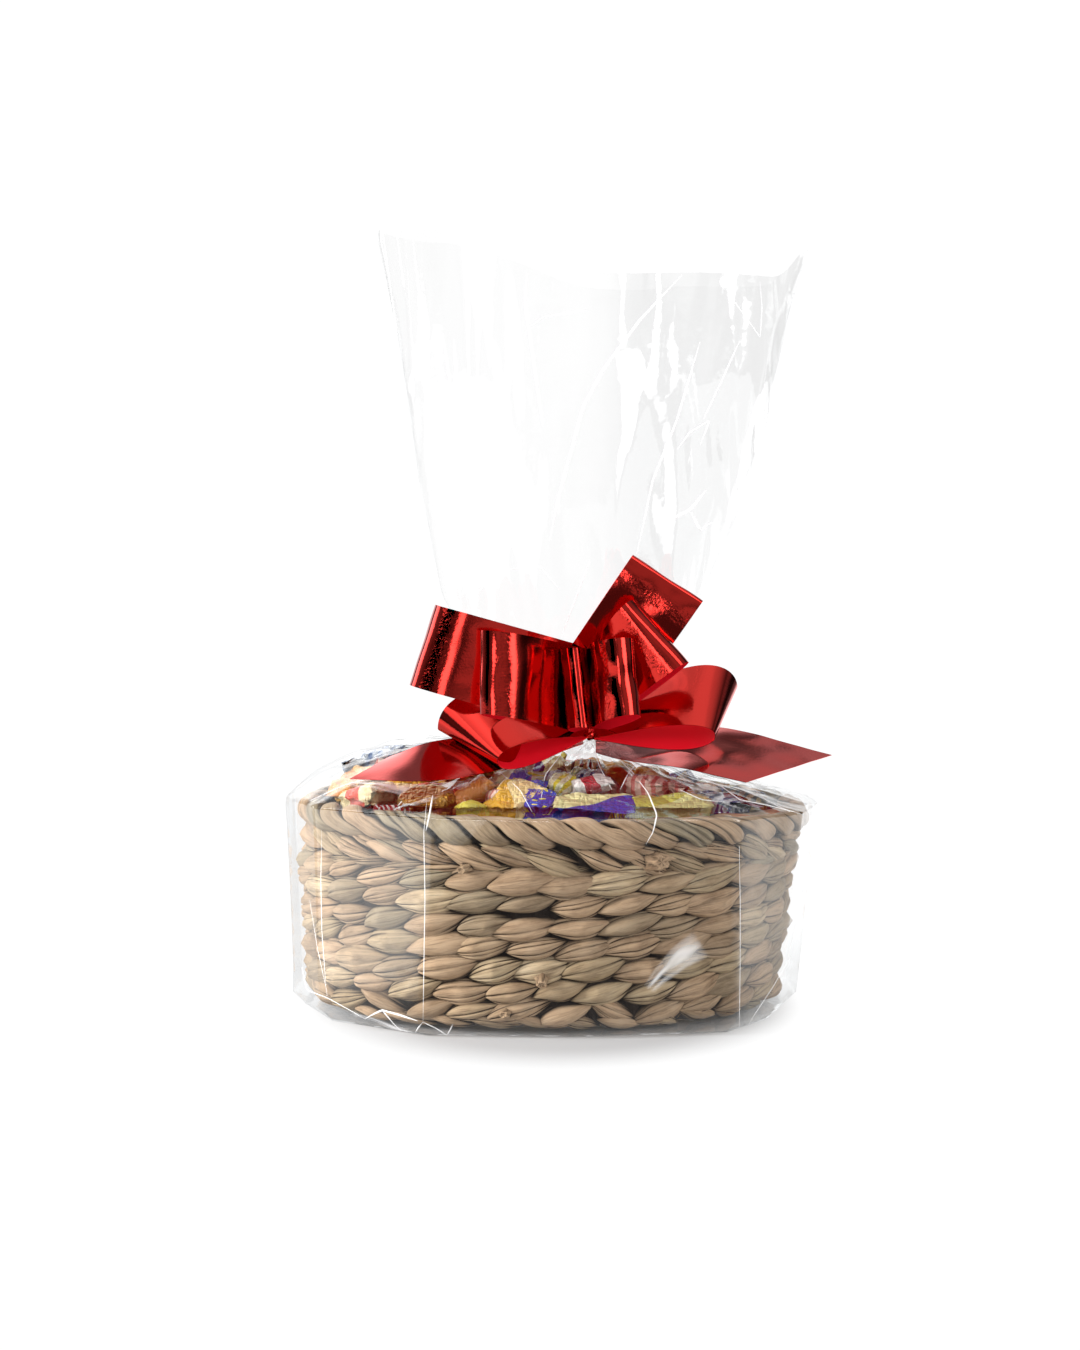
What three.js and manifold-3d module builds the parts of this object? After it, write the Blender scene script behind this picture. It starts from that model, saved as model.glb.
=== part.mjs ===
// A christmas gift basket: an oval basket woven from flat water hyacinth leaves, heaped with wrapped
// sweets, standing in a clear film bag that is gathered above the sweets and tied with a red foil bow.
// Millimetres, +Z up, the front towards -Y. The origin is on the floor under the middle of the rim.

import * as THREE from "three";
import { mergeVertices } from "three/addons/utils/BufferGeometryUtils.js";
import Module from "manifold-3d";

const wasm = await Module();
wasm.setup();

// Basket: the wall's outer size, at the crests of its leaves
const rimHalfWidth = 149;
const rimHalfDepth = 109.5;
const footHalfWidth = 138.5;
const footHalfDepth = 102.5;
const footLean = -5.5; // the foot stands this far to the left of the rim
const ovalExponent = 2.15; // 2 is an ellipse, more is squarer
const wallBottom = 2.2;
const wallThickness = 9;
const wallInside = [98, 12]; // heights at which the plain inside of the wall is set out
const floorThickness = 5;

// Basket: rows of leaves, each leaf a spindle that crosses one stake
const rowCount = 9;
const rowPitch = 11;
const leavesPerRow = 24;
const samplesPerLeaf = 4;
const leafRelief = 4.2;
const leafRise = 2.3; // how far a leaf's ends lie above and below its row

// Basket: the plait on the rim
const plaitRadius = 8.6;
const plaitHeight = 110;
const plaitStrands = 3;
const plaitTurns = 18;
const plaitRelief = 0.13;
const plaitSides = 5;
const rimRiseToBack = 2.5;
const rimRiseToLeft = 1.8;

// Film bag: corners of its plan at the floor and at the shoulder, anticlockwise from the front right
const footCorners = [
  [97, -98], [124, -66], [140.2, -24], [140.2, 20], [126, 62], [86, 106], [12, 109],
  [-64, 106], [-128, 66], [-150.8, 20], [-150.8, -24], [-129, -69], [-71, -104.5], [12, -108.5],
];
const shoulderCorners = [
  [99, -103], [138, -70], [154, -24], [153, 22], [137, 70], [92, 108], [12, 115],
  [-66, 108], [-134, 72], [-156, 20], [-156, -24], [-133, -72], [-69, -109.5], [12, -115],
];
const samplesPerSide = 3;
const footInset = 0.955; // the film turns in under the basket
const filmThickness = 0.8; // drawn thicker than real film, which is about 0.05
const shoulderHeight = 119.5;
const neckCentre = [22, 4];
const neckRadius = 9.5;
const neckHeight = 151.5;
const neckLength = 7;
const neckPleats = 14;
const neckPleatDepth = 0.06;
const wallShares = [0.06, 0.5]; // rings of the upright film, from the floor to the shoulder
const roofShares = [1, 0.93, 0.78, 0.56, 0.34, 0.16]; // rings of the film over the sweets, inwards

// Film bag: the collar above the tie, from the tie to the open top
const collarSections = [
  { height: 170, centre: 19, halfWidth: 30, halfDepth: 12 },
  { height: 196, centre: 13, halfWidth: 56, halfDepth: 16 },
  { height: 236, centre: 11.5, halfWidth: 77, halfDepth: 22 },
  { height: 285, centre: 17.5, halfWidth: 92, halfDepth: 30 },
  { height: 360, centre: 21, halfWidth: 111, halfDepth: 38 },
];
const collarTop = { height: 437.5, centre: 24, halfWidth: 125.5, halfDepth: 42 };
const collarFolds = 5;
const collarFoldDepth = 0.12;

// Sweets: the heap stays inside the wall and under the film
const heapHalfWidth = 130;
const heapHalfDepth = 90.5;
const heapEdgeHeight = 112;
const heapClearance = 0.5;
const heapCrown = 17;
const heapLeftRise = 11;
const heapRightDrop = 5;
const heapSides = 22;

// Bow: foil ribbon 50 wide, gathered on a short seam in front of the bag's neck
const ribbonThickness = 0.9;
const seamX = 21;
const seamY = -31;
const seamBottom = 157;
const seamTop = 207;
const tieRadius = 11.4;
const tieWidth = 3.6;
const tieThickness = 1.4;
const loopSteps = 10;
const tailSteps = 9;
const seamCore = { radius: 3, depthShare: 1.6 };
const knotCore = { radius: 3.2, length: 37, y: -26.7 };

const fullTurn = 2 * Math.PI;

function mix(a, b, share) {
  return a + (b - a) * share;
}

function bump(x, centre, spread) {
  return Math.exp(-(((x - centre) / spread) ** 2));
}

// Distance from the centre to the oval's edge in a direction
function ovalReach(halfWidth, halfDepth, angle) {
  const across = Math.abs(Math.cos(angle) / halfWidth) ** ovalExponent;
  const along = Math.abs(Math.sin(angle) / halfDepth) ** ovalExponent;
  return (across + along) ** (-1 / ovalExponent);
}

// Directions that divide the rim's outline into equal lengths
function evenDirections(count) {
  const steps = 1440;
  const lengths = [0];
  let before = new THREE.Vector2(rimHalfWidth, 0);
  for (let i = 1; i <= steps; i += 1) {
    const angle = (fullTurn * i) / steps;
    const reach = ovalReach(rimHalfWidth, rimHalfDepth, angle);
    const here = new THREE.Vector2(reach * Math.cos(angle), reach * Math.sin(angle));
    lengths.push(lengths[i - 1] + here.distanceTo(before));
    before = here;
  }
  const directions = [];
  let step = 0;
  for (let i = 0; i < count; i += 1) {
    const wanted = (lengths[steps] * i) / count;
    while (lengths[step + 1] < wanted) step += 1;
    const share = (wanted - lengths[step]) / (lengths[step + 1] - lengths[step]);
    directions.push((fullTurn * (step + share)) / steps);
  }
  return directions;
}

// Faces between two rings of vertices with the same count
function pushBand(faces, lower, upper, count) {
  for (let i = 0; i < count; i += 1) {
    const next = (i + 1) % count;
    faces.push(lower + i, lower + next, upper + next);
    faces.push(lower + i, upper + next, upper + i);
  }
}

function geometryOf(points, faces) {
  const geometry = new THREE.BufferGeometry();
  const positions = points.flatMap((point) => [point.x, point.y, point.z]);
  geometry.setAttribute("position", new THREE.Float32BufferAttribute(positions, 3));
  geometry.setIndex(faces);
  return geometry;
}

// A closed body through a stack of rings, with a point in the middle of each end
function loft(rings, firstMiddle, lastMiddle) {
  const count = rings[0].length;
  const faces = [];
  for (let k = 0; k + 1 < rings.length; k += 1) pushBand(faces, k * count, (k + 1) * count, count);
  const points = [...rings.flat(), firstMiddle, lastMiddle];
  const first = points.length - 2;
  const lastRing = (rings.length - 1) * count;
  for (let i = 0; i < count; i += 1) {
    const next = (i + 1) % count;
    faces.push(first, next, i);
    faces.push(first + 1, lastRing + i, lastRing + next);
  }
  return geometryOf(points, faces);
}

// A closed body through a stack of rings whose last ring joins the first
function ringLoft(rings) {
  const count = rings[0].length;
  const faces = [];
  for (let k = 0; k < rings.length; k += 1) {
    pushBand(faces, k * count, ((k + 1) % rings.length) * count, count);
  }
  return geometryOf(rings.flat(), faces);
}

function toSolid(geometry) {
  const bare = geometry.clone();
  bare.deleteAttribute("normal");
  bare.deleteAttribute("uv");
  const merged = mergeVertices(bare, 1e-4);
  return new wasm.Manifold(
    new wasm.Mesh({
      numProp: 3,
      vertProperties: new Float32Array(merged.attributes.position.array),
      triVerts: new Uint32Array(merged.index.array),
    }),
  );
}

function fusedSolid(geometries) {
  return geometries.map(toSolid).reduce((whole, piece) => whole.add(piece));
}

function fromSolid(solid) {
  const mesh = solid.getMesh();
  const geometry = new THREE.BufferGeometry();
  geometry.setAttribute("position", new THREE.BufferAttribute(mesh.vertProperties, 3));
  geometry.setIndex(new THREE.BufferAttribute(mesh.triVerts, 1));
  return geometry;
}

// Basket wall: crest size and lean at a height
function wallOutline(height) {
  const share = THREE.MathUtils.clamp(height / plaitHeight, 0, 1);
  const tuck = 7 * Math.max(0, 1 - height / 12) ** 2; // the lowest row turns in under the basket
  const swell = 3.5 * Math.sin(Math.PI * share ** 0.7);
  return {
    halfWidth: mix(footHalfWidth, rimHalfWidth, share) + swell - tuck,
    halfDepth: mix(footHalfDepth, rimHalfDepth, share) + swell * 0.6 - tuck,
    lean: footLean * (1 - share ** 2),
  };
}

function wallPoint(angle, height, sunk, lift = 0) {
  const outline = wallOutline(height);
  const reach = ovalReach(outline.halfWidth, outline.halfDepth, angle) - sunk;
  return new THREE.Vector3(outline.lean + reach * Math.cos(angle), reach * Math.sin(angle), height + lift);
}

// How far the rim stands above its mean height in a direction
function rimLift(angle) {
  return rimRiseToBack * Math.sin(angle) - rimRiseToLeft * Math.cos(angle);
}

// One row of leaves: the groove under it and the crests in its middle
function leafRow(directions, row) {
  const bottom = wallBottom + row * rowPitch;
  const isBorder = row === rowCount - 1;
  const rise = isBorder ? -leafRise : leafRise;
  const lifted = (angle) => rimLift(angle) * (bottom / plaitHeight);
  const groove = directions.map((angle) => wallPoint(angle, bottom, leafRelief, lifted(angle)));
  const crest = directions.map((angle, i) => {
    const along = (i / samplesPerLeaf + 0.5 * (row % 2)) % 1;
    const sunk = leafRelief * 0.75 * (1 - Math.sin(Math.PI * along) ** 0.7);
    const lift = rise * (2 * along - 1) + lifted(angle);
    return wallPoint(angle, bottom + rowPitch / 2, sunk, lift);
  });
  return [groove, crest];
}

// The rim's plait: a rope of three strands bent round the oval, open where it sits on the wall
function plaitSide(directions, share) {
  const around = THREE.MathUtils.degToRad(mix(-50, 230, share));
  return directions.map((angle, i) => {
    const twist = (fullTurn * plaitTurns * i) / directions.length + plaitStrands * around;
    const radius = plaitRadius * (1 - plaitRelief + plaitRelief * Math.cos(twist));
    const sunk = plaitRadius - radius * Math.cos(around);
    const lift = radius * Math.sin(around) + rimLift(angle);
    return wallPoint(angle, plaitHeight, sunk, lift);
  });
}

function wovenWall(directions) {
  const rings = [];
  for (let row = 0; row < rowCount; row += 1) rings.push(...leafRow(directions, row));
  for (let side = 0; side < plaitSides; side += 1) {
    rings.push(plaitSide(directions, side / (plaitSides - 1)));
  }
  const inside = leafRelief + wallThickness;
  for (const height of [...wallInside, wallBottom]) {
    rings.push(directions.map((angle) => wallPoint(angle, height, inside)));
  }
  return ringLoft(rings);
}

function basketFloor(directions) {
  const sparse = directions.filter((_, i) => i % 4 === 0);
  const ringAt = (height) => sparse.map((angle) => wallPoint(angle, height, wallThickness));
  const middle = (height) => new THREE.Vector3(footLean, 0, height);
  const top = wallBottom + floorThickness;
  return loft([ringAt(wallBottom), ringAt(top)], middle(wallBottom), middle(top));
}

function basket() {
  const directions = evenDirections(leavesPerRow * samplesPerLeaf);
  return fromSolid(fusedSolid([wovenWall(directions), basketFloor(directions)]));
}

// Points along a closed plan with straight sides
function planPoints(corners) {
  const points = [];
  corners.forEach(([x, y], i) => {
    const [nextX, nextY] = corners[(i + 1) % corners.length];
    for (let k = 0; k < samplesPerSide; k += 1) {
      const share = k / samplesPerSide;
      points.push(new THREE.Vector2(mix(x, nextX, share), mix(y, nextY, share)));
    }
  });
  return points;
}

// The film over the sweets, from the neck (share 0) to the shoulder (share 1)
function roofHeight(share, angle) {
  const towardsBackLeft = 0.5 + 0.5 * Math.cos(angle - THREE.MathUtils.degToRad(140));
  const steepness = 1.2 + 3.2 * towardsBackLeft ** 4 - 0.2 * Math.cos(angle);
  return mix(neckHeight, shoulderHeight + rimLift(angle), share ** steepness);
}

// The open top of the collar: high at the left, with a pointed corner at the right
function lipHeight(x, angle) {
  const slope = -13 * Math.tanh((x + 12) / 32);
  return collarTop.height + slope + 19 * bump(x, 150, 10) + 4 * bump(x, -101, 30) + 3 * Math.sin(angle);
}

function collarRing(angles, { height, centre, halfWidth, halfDepth }) {
  return angles.map((angle) => {
    const fold = 1 + collarFoldDepth * Math.cos(collarFolds * angle + height / 90);
    const x = centre + halfWidth * Math.cos(angle);
    const y = neckCentre[1] + halfDepth * Math.sin(angle) * fold;
    return new THREE.Vector3(x, y, height);
  });
}

// Directions of the bag's columns of points, seen from the neck
function columnAngles() {
  return planPoints(shoulderCorners).map(({ x, y }) => Math.atan2(y - neckCentre[1], x - neckCentre[0]));
}

// Rings of the pouch, from the floor up to the neck
function pouchRings() {
  const foot = planPoints(footCorners);
  const shoulder = planPoints(shoulderCorners);
  const angles = columnAngles();
  const rings = [];
  rings.push(foot.map(({ x, y }) => new THREE.Vector3(x * footInset, y * footInset, 0)));
  for (const share of wallShares) {
    rings.push(
      foot.map(({ x, y }, i) => {
        const lift = rimLift(angles[i]) * share;
        const height = shoulderHeight * share + lift;
        return new THREE.Vector3(mix(x, shoulder[i].x, share), mix(y, shoulder[i].y, share), height);
      }),
    );
  }
  for (const share of roofShares) {
    rings.push(
      shoulder.map(({ x, y }, i) => {
        const height = roofHeight(share, angles[i]);
        return new THREE.Vector3(mix(neckCentre[0], x, share), mix(neckCentre[1], y, share), height);
      }),
    );
  }
  return rings;
}

// Rings of the tied neck and the collar above it
function collarRings() {
  const angles = columnAngles();
  const rings = [];
  for (const height of [neckHeight + 1, neckHeight + neckLength]) {
    rings.push(
      angles.map((angle) => {
        const radius = neckRadius * (1 + neckPleatDepth * Math.cos(neckPleats * angle));
        const x = neckCentre[0] + radius * Math.cos(angle);
        return new THREE.Vector3(x, neckCentre[1] + radius * Math.sin(angle), height);
      }),
    );
  }
  for (const section of collarSections) rings.push(collarRing(angles, section));
  const lip = collarRing(angles, collarTop);
  rings.push(lip.map(({ x, y }, i) => new THREE.Vector3(x, y, lipHeight(x, angles[i]))));
  return rings;
}

// The same rings moved inwards, along each point's own normal
function insetRings(rings, distance) {
  const count = rings[0].length;
  return rings.map((ring, k) =>
    ring.map((point, i) => {
      const round = ring[(i + 1) % count].clone().sub(ring[(i + count - 1) % count]);
      const above = rings[Math.min(k + 1, rings.length - 1)][i];
      const below = rings[Math.max(k - 1, 0)][i];
      const normal = round.cross(above.clone().sub(below)).normalize();
      if (k === 0) normal.set(0, 0, -1);
      return point.clone().addScaledVector(normal, -distance);
    }),
  );
}

// The room for the sweets under the film
function roomUnderFilm() {
  const rings = insetRings(pouchRings(), filmThickness + heapClearance);
  const top = new THREE.Vector3(...neckCentre, neckHeight - filmThickness - heapClearance);
  return toSolid(loft(rings, new THREE.Vector3(0, 0, 0), top));
}

function filmBag() {
  const outside = [...pouchRings(), ...collarRings()];
  const inside = insetRings(outside, filmThickness);
  const rings = [...outside, ...inside.reverse()];
  return loft(rings, new THREE.Vector3(0, 0, 0), new THREE.Vector3(0, 0, filmThickness));
}

// The heap's core follows the film from a little below it
function heapHeight(x, y) {
  const out = Math.min(1, Math.hypot(x / heapHalfWidth, y / heapHalfDepth));
  const crown = heapCrown * (1 - out ** 2.2);
  const leftRise = heapLeftRise * bump(x, -84, 46) * bump(y, 8, 62);
  return heapEdgeHeight + crown + leftRise - heapRightDrop * bump(x, 100, 50);
}

function heapCore() {
  const directions = evenDirections(heapSides);
  const inside = leafRelief + wallThickness + heapClearance;
  const against = (height, inset = 0) => directions.map((angle) => wallPoint(angle, height, inside + inset));
  const topRing = (share) =>
    directions.map((angle) => {
      const reach = ovalReach(heapHalfWidth, heapHalfDepth, angle) * share;
      const x = reach * Math.cos(angle);
      const y = reach * Math.sin(angle);
      return new THREE.Vector3(x, y, heapHeight(x, y));
    });
  const bottom = wallBottom + floorThickness + heapClearance;
  const rings = [against(bottom, 3), ...[...wallInside].reverse().map((height) => against(height))];
  for (const share of [1, 0.6]) rings.push(topRing(share));
  const top = new THREE.Vector3(0, 0, heapHeight(0, 0));
  return loft(rings, new THREE.Vector3(footLean, 0, bottom), top);
}

// The space that the wall and its plait take, with a little room to spare
function wallSpace() {
  const directions = evenDirections(heapSides);
  const ringAt = (height, sunk, lift = 0) =>
    directions.map((angle) => wallPoint(angle, height, sunk, lift * rimLift(angle)));
  const radius = (plaitRadius + heapClearance) / Math.cos(Math.PI / 8);
  const rings = [ringAt(wallInside.at(-1), -plaitRadius), ringAt(plaitHeight, -plaitRadius, 1)];
  for (let side = 1; side <= 4; side += 1) {
    const around = (Math.PI * side) / 4;
    const sunk = plaitRadius - radius * Math.cos(around);
    rings.push(
      directions.map((angle) =>
        wallPoint(angle, plaitHeight, sunk, radius * Math.sin(around) + rimLift(angle)),
      ),
    );
  }
  const inside = leafRelief + wallThickness + heapClearance;
  for (const height of wallInside) rings.push(ringAt(height, inside));
  return toSolid(ringLoft(rings));
}

// Kinds of sweet, each round its own X axis

// A sweet in a wrapper twisted at both ends
function twistSweet(length, girth) {
  const half = length / 2;
  const radius = girth / 2;
  const profile = [
    [0, -half], [radius * 0.8, -half], [radius * 0.3, -half * 0.6], [radius, 0],
    [radius * 0.3, half * 0.6], [radius * 0.8, half], [0, half],
  ];
  const lathe = new THREE.LatheGeometry(profile.map(([r, h]) => new THREE.Vector2(r, h)), 4);
  return lathe.rotateZ(-Math.PI / 2);
}

// A bar in a flow wrapper with flat crimped ends
function barSweet(length, girth) {
  const half = length / 2;
  const ring = (x, halfWidth, halfHeight) =>
    [[1, -1], [1, 1], [-1, 1], [-1, -1]].map(
      ([y, z]) => new THREE.Vector3(x, y * halfWidth, z * halfHeight),
    );
  const rings = [
    ring(-half, girth * 0.5, girth * 0.06), ring(-half * 0.72, girth * 0.5, girth * 0.3),
    ring(half * 0.72, girth * 0.5, girth * 0.3), ring(half, girth * 0.5, girth * 0.06),
  ];
  return loft(rings, new THREE.Vector3(-half, 0, 0), new THREE.Vector3(half, 0, 0));
}

// A ball wrapped in crinkled foil
function ballSweet(length, girth) {
  const ball = new THREE.SphereGeometry(0.5, 6, 3);
  return ball.scale(length, girth, girth);
}

const sweetShapes = { twist: twistSweet, bar: barSweet, ball: ballSweet };

// The sweets seen through the front of the film: kind, place of the middle, turn, tip, length, girth
const frontSweets = [
  ["bar", [-117, -22, 124], 60, 20, 34, 20],
  ["twist", [-99, 6, 134.5], 8, 6, 46, 19],
  ["bar", [-104, -48, 121], -52, 14, 40, 19],
  ["ball", [-74, -74, 120], 0, 0, 25, 22],
  ["bar", [-50, -62, 122], 25, 16, 38, 20],
  ["ball", [-47, -84, 114.5], 20, 0, 24, 15],
  ["bar", [-25, -76, 119], 58, 24, 40, 24],
  ["twist", [-9, -78, 120], 80, 24, 44, 17],
  ["twist", [5, -62, 124], 64, 20, 42, 16],
  ["bar", [18, -80, 117.5], -4, 4, 48, 26],
  ["bar", [24, -52, 126], 12, 12, 34, 20],
  ["bar", [59, -68, 117], 10, 6, 50, 24],
  ["twist", [56, -46, 125], -20, 6, 44, 18],
  ["twist", [89, -54, 117], -12, 4, 48, 17],
  ["twist", [104, -34, 115.5], -30, -4, 48, 17],
  ["bar", [115, -8, 111], 70, 0, 38, 18],
];

// The rest of the heap: rings of sweets that turn and change kind from one to the next
const backRings = [
  { share: 0.79, from: 6, to: 174, count: 8 },
  { share: 0.44, from: -10, to: 190, count: 5 },
];

function heapedSweets() {
  const placed = frontSweets.map(([kind, at, turn, tip, length, girth]) => {
    const sweet = sweetShapes[kind](length, girth);
    sweet.rotateY(THREE.MathUtils.degToRad(-tip));
    sweet.rotateZ(THREE.MathUtils.degToRad(turn));
    return sweet.translate(...at);
  });
  const kinds = ["twist", "bar", "twist", "ball", "bar"];
  let number = 0;
  for (const { share, from, to, count } of backRings) {
    for (let i = 0; i < count; i += 1) {
      const angle = THREE.MathUtils.degToRad(mix(from, to, i / (count - 1)));
      const reach = ovalReach(heapHalfWidth, heapHalfDepth, angle) * share;
      const x = reach * Math.cos(angle);
      const y = reach * Math.sin(angle);
      const kind = kinds[number % kinds.length];
      const length = kind === "ball" ? 25 : 42 + 3 * (number % 3);
      const girth = 18 + 2 * (number % 2);
      const sweet = sweetShapes[kind](length, girth);
      sweet.rotateZ(angle + Math.PI / 2 + 0.9 * Math.sin(2.4 * number));
      placed.push(sweet.translate(x, y, heapHeight(x, y) + 3));
      number += 1;
    }
  }
  return placed;
}

function sweetsHeap() {
  const heap = fusedSolid([heapCore(), ...heapedSweets()]);
  return fromSolid(heap.subtract(wallSpace()).intersect(roomUnderFilm()));
}

// A strip of ribbon between two edges, given as lists of points
function ribbonStrip(edgeA, edgeB) {
  const count = edgeA.length;
  const rings = edgeA.map((a, i) => {
    const b = edgeB[i];
    const before = edgeA[Math.max(i - 1, 0)].clone().add(edgeB[Math.max(i - 1, 0)]);
    const after = edgeA[Math.min(i + 1, count - 1)].clone().add(edgeB[Math.min(i + 1, count - 1)]);
    const normal = after.sub(before).cross(b.clone().sub(a)).normalize();
    const offset = normal.multiplyScalar(ribbonThickness / 2);
    return [a.clone().sub(offset), b.clone().sub(offset), b.clone().add(offset), a.clone().add(offset)];
  });
  const middle = (ring) => ring[0].clone().add(ring[2]).multiplyScalar(0.5);
  return loft(rings, middle(rings[0]), middle(rings[count - 1]));
}

// A loop leaves the seam on one side of its plane, turns at its end and comes back on the other side.
// base and end are the two edges of the ribbon at the seam and at the turn; bulge is half its depth.
function bowLoop({ base, end, bulge, squareness = 1 }) {
  const [baseA, baseB] = base.map((point) => new THREE.Vector3(...point));
  const [endA, endB] = end.map((point) => new THREE.Vector3(...point));
  const out = endA.clone().add(endB).sub(baseA).sub(baseB);
  const across = endB.clone().sub(endA).add(baseB).sub(baseA);
  const side = out.cross(across).normalize();
  const edgeA = [];
  const edgeB = [];
  for (let i = 0; i <= loopSteps; i += 1) {
    const turn = (fullTurn * i) / loopSteps;
    const reach = ((1 - Math.cos(turn)) / 2) ** (1 / squareness);
    const swing = Math.sin(turn) * Math.sqrt(reach) * bulge * 1.3 + (i < loopSteps / 2 ? 0.5 : -0.5);
    edgeA.push(baseA.clone().lerp(endA, reach).addScaledVector(side, swing));
    edgeB.push(baseB.clone().lerp(endB, reach).addScaledVector(side, swing));
  }
  return ribbonStrip(edgeA, edgeB);
}

function bowTail(farEdge, nearEdge) {
  const curveOf = (edge) => new THREE.CatmullRomCurve3(edge.map((point) => new THREE.Vector3(...point)));
  return ribbonStrip(curveOf(farEdge).getPoints(tailSteps), curveOf(nearEdge).getPoints(tailSteps));
}

const bowLoops = [
  // upper left
  { base: [[20, -28, 207], [20, -28, 157]], end: [[-68, -38, 231.5], [-83, -38, 186]], bulge: 15 },
  // front left, nearly square
  { base: [[19, -33, 206], [19, -33, 157]], end: [[-39, -74, 217], [-39, -78, 171]], bulge: 10, squareness: 1.5 },
  // front centre
  { base: [[22, -35, 206], [22, -35, 157]], end: [[22, -88, 214], [30, -90, 172]], bulge: 15 },
  // front right, turned like a cone
  { base: [[23, -33, 204], [24, -33, 158]], end: [[44, -58, 234], [74, -64, 199]], bulge: 10 },
  // upper right
  { base: [[5, -28, 200], [38, -27, 166]], end: [[44.8, -41, 259.3], [84.7, -41, 233]], bulge: 6 },
  // lower right, lying flat
  { base: [[24, -9, 165], [23, -42, 154]], end: [[110, 2, 186.5], [93, -38, 157.5]], bulge: 10 },
  // lower left, lying flat
  { base: [[19, -9, 167], [20, -42, 157]], end: [[-67, -24, 161], [-31, -63, 147]], bulge: 7.5 },
];

const bowTails = [
  // right, cut on the slant with its point at the back
  [
    [[25, -10, 157], [60, -20, 161.5], [97, -30, 160.5], [161, -27, 144.5]],
    [[24, -44, 151], [40, -60, 147], [70, -73, 141], [105.5, -76, 133.5]],
  ],
  // left, cut on the slant with its point at the front
  [
    [[18, -10, 157], [-25, -32, 158.5], [-68.5, -45, 153.5], [-92.5, -50, 145.5]],
    [[17, -45, 155], [-12, -72, 149.5], [-62, -92, 137.5], [-112, -78, 135.5]],
  ],
];

// The gathered ribbon behind the loops and the tie round the bag's neck
function bowSeam() {
  const upright = new THREE.CylinderGeometry(seamCore.radius, seamCore.radius, seamTop - seamBottom, 6);
  upright.rotateX(Math.PI / 2).scale(1, seamCore.depthShare, 1);
  upright.translate(seamX, seamY, (seamTop + seamBottom) / 2);
  const lying = new THREE.CylinderGeometry(knotCore.radius, knotCore.radius, knotCore.length, 6);
  lying.translate(seamX, knotCore.y, seamBottom + 0.5);
  const outer = tieRadius + tieThickness;
  const section = [
    [tieRadius, -tieWidth / 2], [outer, -tieWidth / 2], [outer, tieWidth / 2],
    [tieRadius, tieWidth / 2], [tieRadius, -tieWidth / 2],
  ];
  const tie = new THREE.LatheGeometry(section.map(([r, h]) => new THREE.Vector2(r, h)), 16);
  tie.rotateX(Math.PI / 2).translate(...neckCentre, neckHeight + 5);
  return [upright, lying, tie];
}

function bow() {
  const tails = bowTails.map(([farEdge, nearEdge]) => bowTail(farEdge, nearEdge));
  return fromSolid(fusedSolid([...bowSeam(), ...bowLoops.map(bowLoop), ...tails]));
}

const finishes = {
  basket: { color: 0xb08d62, roughness: 0.75, metalness: 0 },
  sweets_heap: { color: 0xc79a3c, roughness: 0.4, metalness: 0.1 },
  film_bag: { color: 0xeef1f2, roughness: 0.1, metalness: 0, transparent: true, opacity: 0.3 },
  bow: { color: 0xb3101c, roughness: 0.25, metalness: 0.9 },
};

const giftBasket = new THREE.Group();
for (const [name, geometry] of Object.entries({
  basket: basket(),
  sweets_heap: sweetsHeap(),
  film_bag: filmBag(),
  bow: bow(),
})) {
  const mesh = new THREE.Mesh(geometry, new THREE.MeshStandardMaterial(finishes[name]));
  mesh.name = name;
  giftBasket.add(mesh);
}

export default giftBasket;
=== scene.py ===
import logging
import math
from collections.abc import Callable
from dataclasses import dataclass, field
from enum import Enum
from functools import partial

import bpy
import numpy as np
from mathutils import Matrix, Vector
from mathutils.bvhtree import BVHTree


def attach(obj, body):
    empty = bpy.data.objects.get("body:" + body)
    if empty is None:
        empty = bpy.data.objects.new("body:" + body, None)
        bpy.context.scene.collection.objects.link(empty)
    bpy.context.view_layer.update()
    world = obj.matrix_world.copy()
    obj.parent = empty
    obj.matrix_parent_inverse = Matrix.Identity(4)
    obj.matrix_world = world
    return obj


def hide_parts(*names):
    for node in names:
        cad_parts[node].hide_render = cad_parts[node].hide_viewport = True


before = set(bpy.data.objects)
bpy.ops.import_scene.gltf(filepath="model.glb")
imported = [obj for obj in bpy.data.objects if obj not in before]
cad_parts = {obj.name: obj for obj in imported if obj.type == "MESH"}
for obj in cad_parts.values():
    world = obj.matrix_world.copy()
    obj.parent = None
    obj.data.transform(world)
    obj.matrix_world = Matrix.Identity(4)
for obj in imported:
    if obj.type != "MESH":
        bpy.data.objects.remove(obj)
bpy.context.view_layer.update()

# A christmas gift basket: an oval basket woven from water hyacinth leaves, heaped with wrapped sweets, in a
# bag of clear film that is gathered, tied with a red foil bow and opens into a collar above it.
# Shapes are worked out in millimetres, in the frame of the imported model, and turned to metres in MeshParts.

MILLIMETRE = 0.001
TURN = 2 * math.pi
BODY = "root"
UP = np.array([0, 0, 1])
SMOOTH = {"interpolation_type": "SMOOTHSTEP"}
WHITE, BLACK = "ffffff", "000000"
PURE_WHITE = 1.05  # strength of a light that the picture shows as pure white
Socket = bpy.types.NodeSocket
AddNode = Callable[..., Socket]

# The photograph: its size and horizon in pixels, its focal length, and where its camera stood in millimetres
PICTURE = (1080, 1350)
HORIZON_ROW = 620.0
FOCAL_PX = 1724.0
CAMERA_PLACE = (-7.7, -1024.0, 222.7)

log = logging.getLogger("gift_basket")


def linear(code: str) -> tuple[float, float, float, float]:
    """Turn an sRGB hex colour into the linear colour that shaders take.

    Args:
        code: six hex digits.

    Returns:
        Red, green, blue and an alpha of 1.
    """
    parts = [int(code[i : i + 2], 16) / 255 for i in (0, 2, 4)]
    red, green, blue = (c / 12.92 if c <= 0.04045 else ((c + 0.055) / 1.055) ** 2.4 for c in parts)
    return red, green, blue, 1.0


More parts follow.
